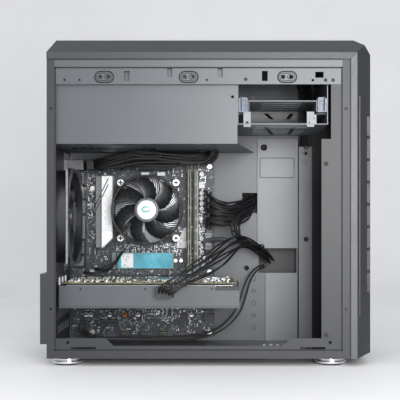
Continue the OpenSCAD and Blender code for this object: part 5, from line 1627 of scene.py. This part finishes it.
def flat_stroke(start, end, z0, z1, width):
    """A straight bar between two points in X and Y, from one height to another."""
    points, faces = stroke(start, end, z0, z1, width)
    return points[:, [1, 2, 0]], faces


class TOWER_OT_bay(bpy.types.Operator):
    """Makes the slots, screw tabs and clip ends of the drive bay"""

    bl_idname = "tower.bay"
    bl_label = "Drive bay"

    def execute(self, context):
        low, high = span("drive_tray")
        y1, z = high[1], low[2]
        shade = "shadow"
        caddy = [
            ((-66, y1 - 22), (0, y1 - 33)), ((-66, y1 - 55), (0, y1 - 54)), ((-62, y1 - 74), (-10, y1 - 83))
        ]
        under = z - 0.12
        slots = [flat_stroke(a, b, under, under + 0.4, 5) for a, b in caddy]
        piece("tray_slots", joined(slots), shade, "drive_caddy", "tray_steel")
        near = low[0] + 0.6
        ys = [y1 + 1.5, y1 - 75.5]
        tabs = blocks(
            [[near, y - 4.6, z - 19] for y in ys], [[near + 1.2, y + 4.6, z - 0.2] for y in ys], 0.3
        )
        eyes = set_at(turned([[0, 0], [1.9, 0], [1.9, 0.3], [0, 0.3]], 20), [[near, y, z - 14] for y in ys])
        coats = np.repeat([0, 1], [len(tabs[1]), len(eyes[1])])
        pair = ["plate", shade]
        piece("tray_screw_tabs", joined([tabs, eyes]), pair, "drive_caddy", "tray_steel", coats=coats)
        bars = blocks(
            [
                [-40, y1 - 76, z - 11 - i * 6] for i in range(2)
            ], [[-36, y1 + 1, z - 8.5 - i * 6] for i in range(2)], 0.3
        )
        piece("tray_rods", bars, "black_steel", "drive_caddy", "tray_steel")
        low, high = span("drive_clips")
        x = low[0]
        tips = [[x + 0.3, high[1] - 2.4, low[2] + 5], [x + 0.3, low[1] + 0.4, low[2] + 5]]
        ends = [[x + 6, high[1] - 0.2, low[2] + 12], [x + 6, low[1] + 2.6, low[2] + 12]]
        piece("clip_ends", blocks(tips, ends, 0.4), "white", "drive_caddy", "clip_plastic")
        sides = []
        for y0, y1 in ((high[1] - 12, high[1] - 3), (low[1] + 3, low[1] + 12)):
            sides += [
                ([x - 0.1, y, low[2] + 1.4], [x + 0.4, y + 1.3, high[2] - 1.4]) for y in (y0 - 0.4, y1 - 0.9)
            ]
        lows, highs = zip(*sides)
        piece("clip_grooves", blocks(lows, highs, 0.1), shade, "drive_caddy", "clip_plastic")
        low, high = span("drive_cage")
        floor = low[2]
        y1 = span("drive_tray")[1][1]
        cage = [((-53, y1 - 23), (47, y1 - 36)), ((-48, y1 - 58), (40, y1 - 58))]
        slots = [flat_stroke(a, b, floor - 0.12, floor + 0.4, 5) for a, b in cage]
        fixed("cage_slots", joined(slots), shade, "tray_steel")
        return {"FINISHED"}


class TOWER_OT_plates(bpy.types.Operator):
    """Makes the marks pressed into the tray and its plates"""

    bl_idname = "tower.plates"
    bl_label = "Tray plates"

    def execute(self, context):
        px = PLATE_LOW[0] + 3
        py0, py1, pz1 = PLATE_LOW[1], PLATE_HIGH[1], PLATE_HIGH[2]
        marks = [
            [PLATE_LOW[0] - 0.06, py0 + 9.5 + a, pz1 - 20 + b] for a, b in ((3, 0), (-3, 0), (0, 3), (0, -3))
        ]
        dot = placed(turned([[0, 0], [0.9, 0], [0.9, 0.2], [0, 0.2]], 14), direction="-x")
        fixed("column_marks", copies(dot, marks), "shadow", "plate_steel")
        embossed = []
        for i in range(5):
            z = 28 + i * 17
            ring = np.array(stadium(py1 + 5, z, 5.5, 3.4 if i % 2 else 7.5, 20))
            embossed.append(loop_tube(np.insert(ring, 0, px + 2.95, 1), 0.35, 6))
        fixed("tray_embossing", joined(embossed), "black_steel", "tray_steel")
        return {"FINISHED"}


class TOWER_OT_finishes(bpy.types.Operator):
    """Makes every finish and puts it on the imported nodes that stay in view"""

    bl_idname = "tower.finishes"
    bl_label = "Finishes"

    def execute(self, context):
        c = context.scene.tower_colours
        FINISHES.update(
            frame=powder_coat("frame paint", c.frame),
            sheet=powder_coat("inner paint", c.sheet, 0.5, 0.36),
            plate=powder_coat("plate paint", c.plate, 0.5, 0.34),
            black_steel=powder_coat("black paint", tint("#2a2c2e")),
            cover=moulding("cover plastic", c.cover),
            # bezel: dark base is painted shade on the bevel, the lighter outer sides are painted light
            bezel=moulding(
                "bezel plastic", c.bezel, grain=(1, 1, 0.04), side=(BEZEL_HIGH[0] - 0.4, tint("#4b4d50"))
            ),
            plastic=smooth_plastic("black plastic", c.plastic),
            blades=smooth_plastic("blade plastic", tint("#232527"), 0.28),
            chrome=glossy_ring("plated ring", (0.86, 0.86, 0.88)),
            rubber=rubber("foot rubber", tint("#1a1b1c")),
            board=circuit("board mask", c.board, tint("#2f4552")),
            brass=bare_metal("turned brass", (0.72, 0.52, 0.22), 0.35),
            silver=bare_metal("light aluminium", (0.9, 0.91, 0.93), 0.38),
            fins=bare_metal("fin aluminium", (0.72, 0.73, 0.75), 0.4),
            tin=bare_metal("tinned shell", (0.62, 0.63, 0.64), 0.36),
            slot=smooth_plastic("slot plastic", tint("#a9acaf"), 0.45),
            dark_slot=smooth_plastic("dark slot plastic", tint("#26282b"), 0.45),
            drive=circuit("drive label", c.drive, tint("#58b6c2"), pads=0.0),
            screw=bare_metal("screw steel", (0.7, 0.7, 0.68), 0.3),
            card_board=circuit("card mask", tint("#4f4d31"), tint("#7c7950"), "xy", 0.8),
            card=powder_coat("card shroud", c.card, 0.8, 0.4),
            clip=smooth_plastic("clip plastic", tint("#36445a"), 0.3),
            lead=sleeve("lead sleeve", c.lead),
            # shadow: near black for the black ties, and painted shade in seams, slots, grooves and recesses
            shadow=smooth_plastic("dark seam", tint("#0b0c0d"), 0.6),
            white=smooth_plastic("white label", tint("#e9eaea"), 0.4),
            white_metal=smooth_plastic("white lacquer", tint("#f6f7f8"), 0.3),
            grey_metal=smooth_plastic("grey lacquer", tint("#6f7274"), 0.4),
            grey_lead=sleeve("grey jacket", tint("#4c4e50"), 0.45, 14, 6.0),
            paper=printed_label("drive paper", tint("#e6e8ea"), tint("#4a4c50")),
            chip=smooth_plastic("chip resin", tint("#17181a"), 0.45, 0.15),
            choke=smooth_plastic("choke ferrite", tint("#33363a"), 0.5),
            orange=smooth_plastic("orange can", tint("#c9772e"), 0.35),
            part_body=speckled(
                "part bodies", [tint("#2b2420"), tint("#6f6a62"), tint("#1a1c1f"), tint("#8d8f92")]
            ),
            card_part=speckled(
                "card part bodies", [tint("#8a8464"), tint("#3a3628"), tint("#b9b493"), tint("#cfcfc8")]
            ),
            solder=bare_metal("solder", (0.82, 0.84, 0.87), 0.34, edge=0.0),
            module=circuit("module mask", tint("#7f7d58"), tint("#8f8c66"), "xz", 0.6),
            teal=smooth_plastic("teal print", tint("#4fb3ac"), 0.4),
            hub=smooth_plastic("hub rim", tint("#5d6063"), 0.3),
            port_shell=bare_metal("port shell", (0.16, 0.16, 0.17), 0.45),
            # painted highlight on the rear fan frame's near edge
            vent=smooth_plastic("vent edge", tint("#6f7276"), 0.35),
        )
        for node, key in NODE_FINISH.items():
            mesh = frame["nodes"][node].data
            mesh.materials.clear()
            mesh.materials.append(FINISHES[key])
        return {"FINISHED"}


NODE_FINISH = {
    "base_pan": "sheet", "bottom_rails": "frame", "rear_panel": "frame", "rear_rails": "frame",
    "roof_panel": "frame", "top_rails": "sheet", "front_panel": "frame", "front_rails": "frame",
    # drive_cage and drive_tray take the lighter plate paint as painted light on their undersides, which face
    # the floor
    "motherboard_tray": "sheet", "tray_plates": "plate", "psu_shroud": "sheet", "drive_cage": "plate",
    "drive_tray": "plate", "drive_clips": "clip", "top_cover": "cover", "power_button": "plastic",
    "reset_button": "plastic", "front_ports": "plastic", "front_bezel": "bezel", "dust_filter": "plastic",
    "right_side_panel": "frame", "thumb_screws": "black_steel", "foot_rings": "chrome",
    "foot_pads": "rubber", "psu_case": "black_steel", "psu_fan_rotor": "blades", "psu_inlet": "plastic",
    "psu_rocker": "plastic", "motherboard": "board", "standoffs": "brass", "board_heatsinks": "silver",
    "io_ports": "port_shell", "io_shield": "tin", "memory_slots": "slot", "memory_latch_1": "dark_slot",
    "memory_latch_2": "dark_slot", "memory_modules": "board", "pcie_slots": "dark_slot",
    "pcie_latch": "dark_slot", "board_sockets": "dark_slot", "cable_plugs": "plastic",
    "m2_drive": "drive", "board_screws": "screw", "board_capacitors": "tin", "clock_battery": "tin",
    "cpu_heatsink": "fins", "cpu_fan_frame": "plastic", "cpu_fan_rotor": "blades",
    "rear_fan_frame": "plastic", "rear_fan_rotor": "blades", "gpu_board": "card_board",
    "gpu_heatsink": "fins", "gpu_shroud": "card", "gpu_rotor_rear": "blades", "gpu_rotor_front": "blades",
    "slot_covers": "black_steel", "atx_cable": "lead", "cpu_cable": "lead", "gpu_cable": "lead",
    "panel_leads": "lead",
}


class TOWER_OT_stage(bpy.types.Operator):
    """Makes the pale floor, the soft lights and the camera"""

    bl_idname = "tower.stage"
    bl_label = "Stage"

    def execute(self, context):
        s = context.scene.tower_stage
        floor = Finish("pale floor", tint("#e9e9ea"), 0.6)
        floor.put("Base Color", floor.mix(floor.noise(180, 2), tint("#e4e4e5"), tint("#eeeeef")))
        rise, reach, width = 3600.0, 1700.0, 12000.0
        a = np.linspace(0, TURN / 4, 12)
        bend = 700.0
        x = np.concatenate([[-9000.0], reach - bend + bend * np.sin(a), [reach]])
        z = np.concatenate([[0.0], bend - bend * np.cos(a), [rise]])
        y = np.array([-width / 2, width / 2])
        points = np.stack(
            [np.repeat(x[:, None], 2, 1), np.repeat(y[None], len(x), 0), np.repeat(z[:, None], 2, 1)], -1
        )
        mesh = bpy.data.meshes.new("floor")
        flat, faces = grid(points, wrap_cols=False)
        mesh.from_pydata((flat * MM).tolist(), [], faces.tolist())
        mesh.materials.append(floor.material)
        mesh.shade_smooth()
        ground = bpy.data.objects.new("floor", mesh)
        context.scene.collection.objects.link(ground)

        world = bpy.data.worlds.new("surroundings")
        world.use_nodes = True
        world.node_tree.nodes["Background"].inputs[0].default_value = (*tint("#e9ebee"), 1.0)
        world.node_tree.nodes["Background"].inputs[1].default_value = s.sky
        context.scene.world = world
        context.scene.view_settings.view_transform = "Standard"

        lights = [
            ("main light", s.key, (-1.1, 0.35, 1.35), (0, 0, 0.2), 1.3),
            ("front light", s.fill, (-1.45, -0.32, 0.38), (0, -0.05, 0.2), 0.6),
        ]
        for name, power, place, aim, side in lights:
            data = bpy.data.lights.new(name, "AREA")
            data.energy, data.size = power, side
            lamp = bpy.data.objects.new(name, data)
            lamp.location = place
            lamp.rotation_euler = (Vector(aim) - Vector(place)).to_track_quat("-Z", "Y").to_euler()
            context.scene.collection.objects.link(lamp)

        data = bpy.data.cameras.new("camera")
        data.lens, data.sensor_width = s.lens, 36.0
        data.shift_x, data.shift_y = -0.0575, 0.05
        camera = bpy.data.objects.new("camera", data)
        camera.location = (-s.distance, -0.0195, s.height)
        camera.rotation_euler = (TURN / 4, 0, -TURN / 4)
        context.scene.collection.objects.link(camera)
        context.scene.camera = camera
        return {"FINISHED"}


OPERATORS = [
    TOWER_OT_stage,
    TOWER_OT_finishes,
    TOWER_OT_case_trim,
    TOWER_OT_feet,
    TOWER_OT_fans,
    TOWER_OT_cooler,
    TOWER_OT_leads,
    TOWER_OT_board,
    TOWER_OT_heatsink,
    TOWER_OT_memory,
    TOWER_OT_card,
    TOWER_OT_bay,
    TOWER_OT_plates,
]


class TOWER_PT_panel(bpy.types.Panel):
    """Lists the sizes, colours and operators of the tower"""

    bl_label = "Tower"
    bl_idname = "TOWER_PT_panel"
    bl_space_type = "VIEW_3D"
    bl_region_type = "UI"
    bl_category = "Tower"

    def draw(self, context):
        scene = context.scene
        for name in SETTINGS:
            group = getattr(scene, name)
            box = self.layout.box()
            for key in group.__annotations__:
                box.prop(group, key)
        for operator in OPERATORS:
            self.layout.operator(operator.bl_idname)


SETTINGS = {
    "tower_colours": TowerColours,
    "tower_fans": TowerFans,
    "tower_leads": TowerLeads,
    "tower_board": TowerBoard,
    "tower_stage": TowerStage,
}
CLASSES = [*SETTINGS.values(), *OPERATORS, TOWER_PT_panel]


def register():
    for item in CLASSES:
        bpy.utils.register_class(item)
    for name, group in SETTINGS.items():
        setattr(bpy.types.Scene, name, PointerProperty(type=group))


def unregister():
    for name in SETTINGS:
        delattr(bpy.types.Scene, name)
    for item in reversed(CLASSES):
        bpy.utils.unregister_class(item)


def main():
    register()
    for operator in OPERATORS:
        group, name = operator.bl_idname.split(".")
        getattr(getattr(bpy.ops, group), name)()


if __name__ == "__main__":
    main()
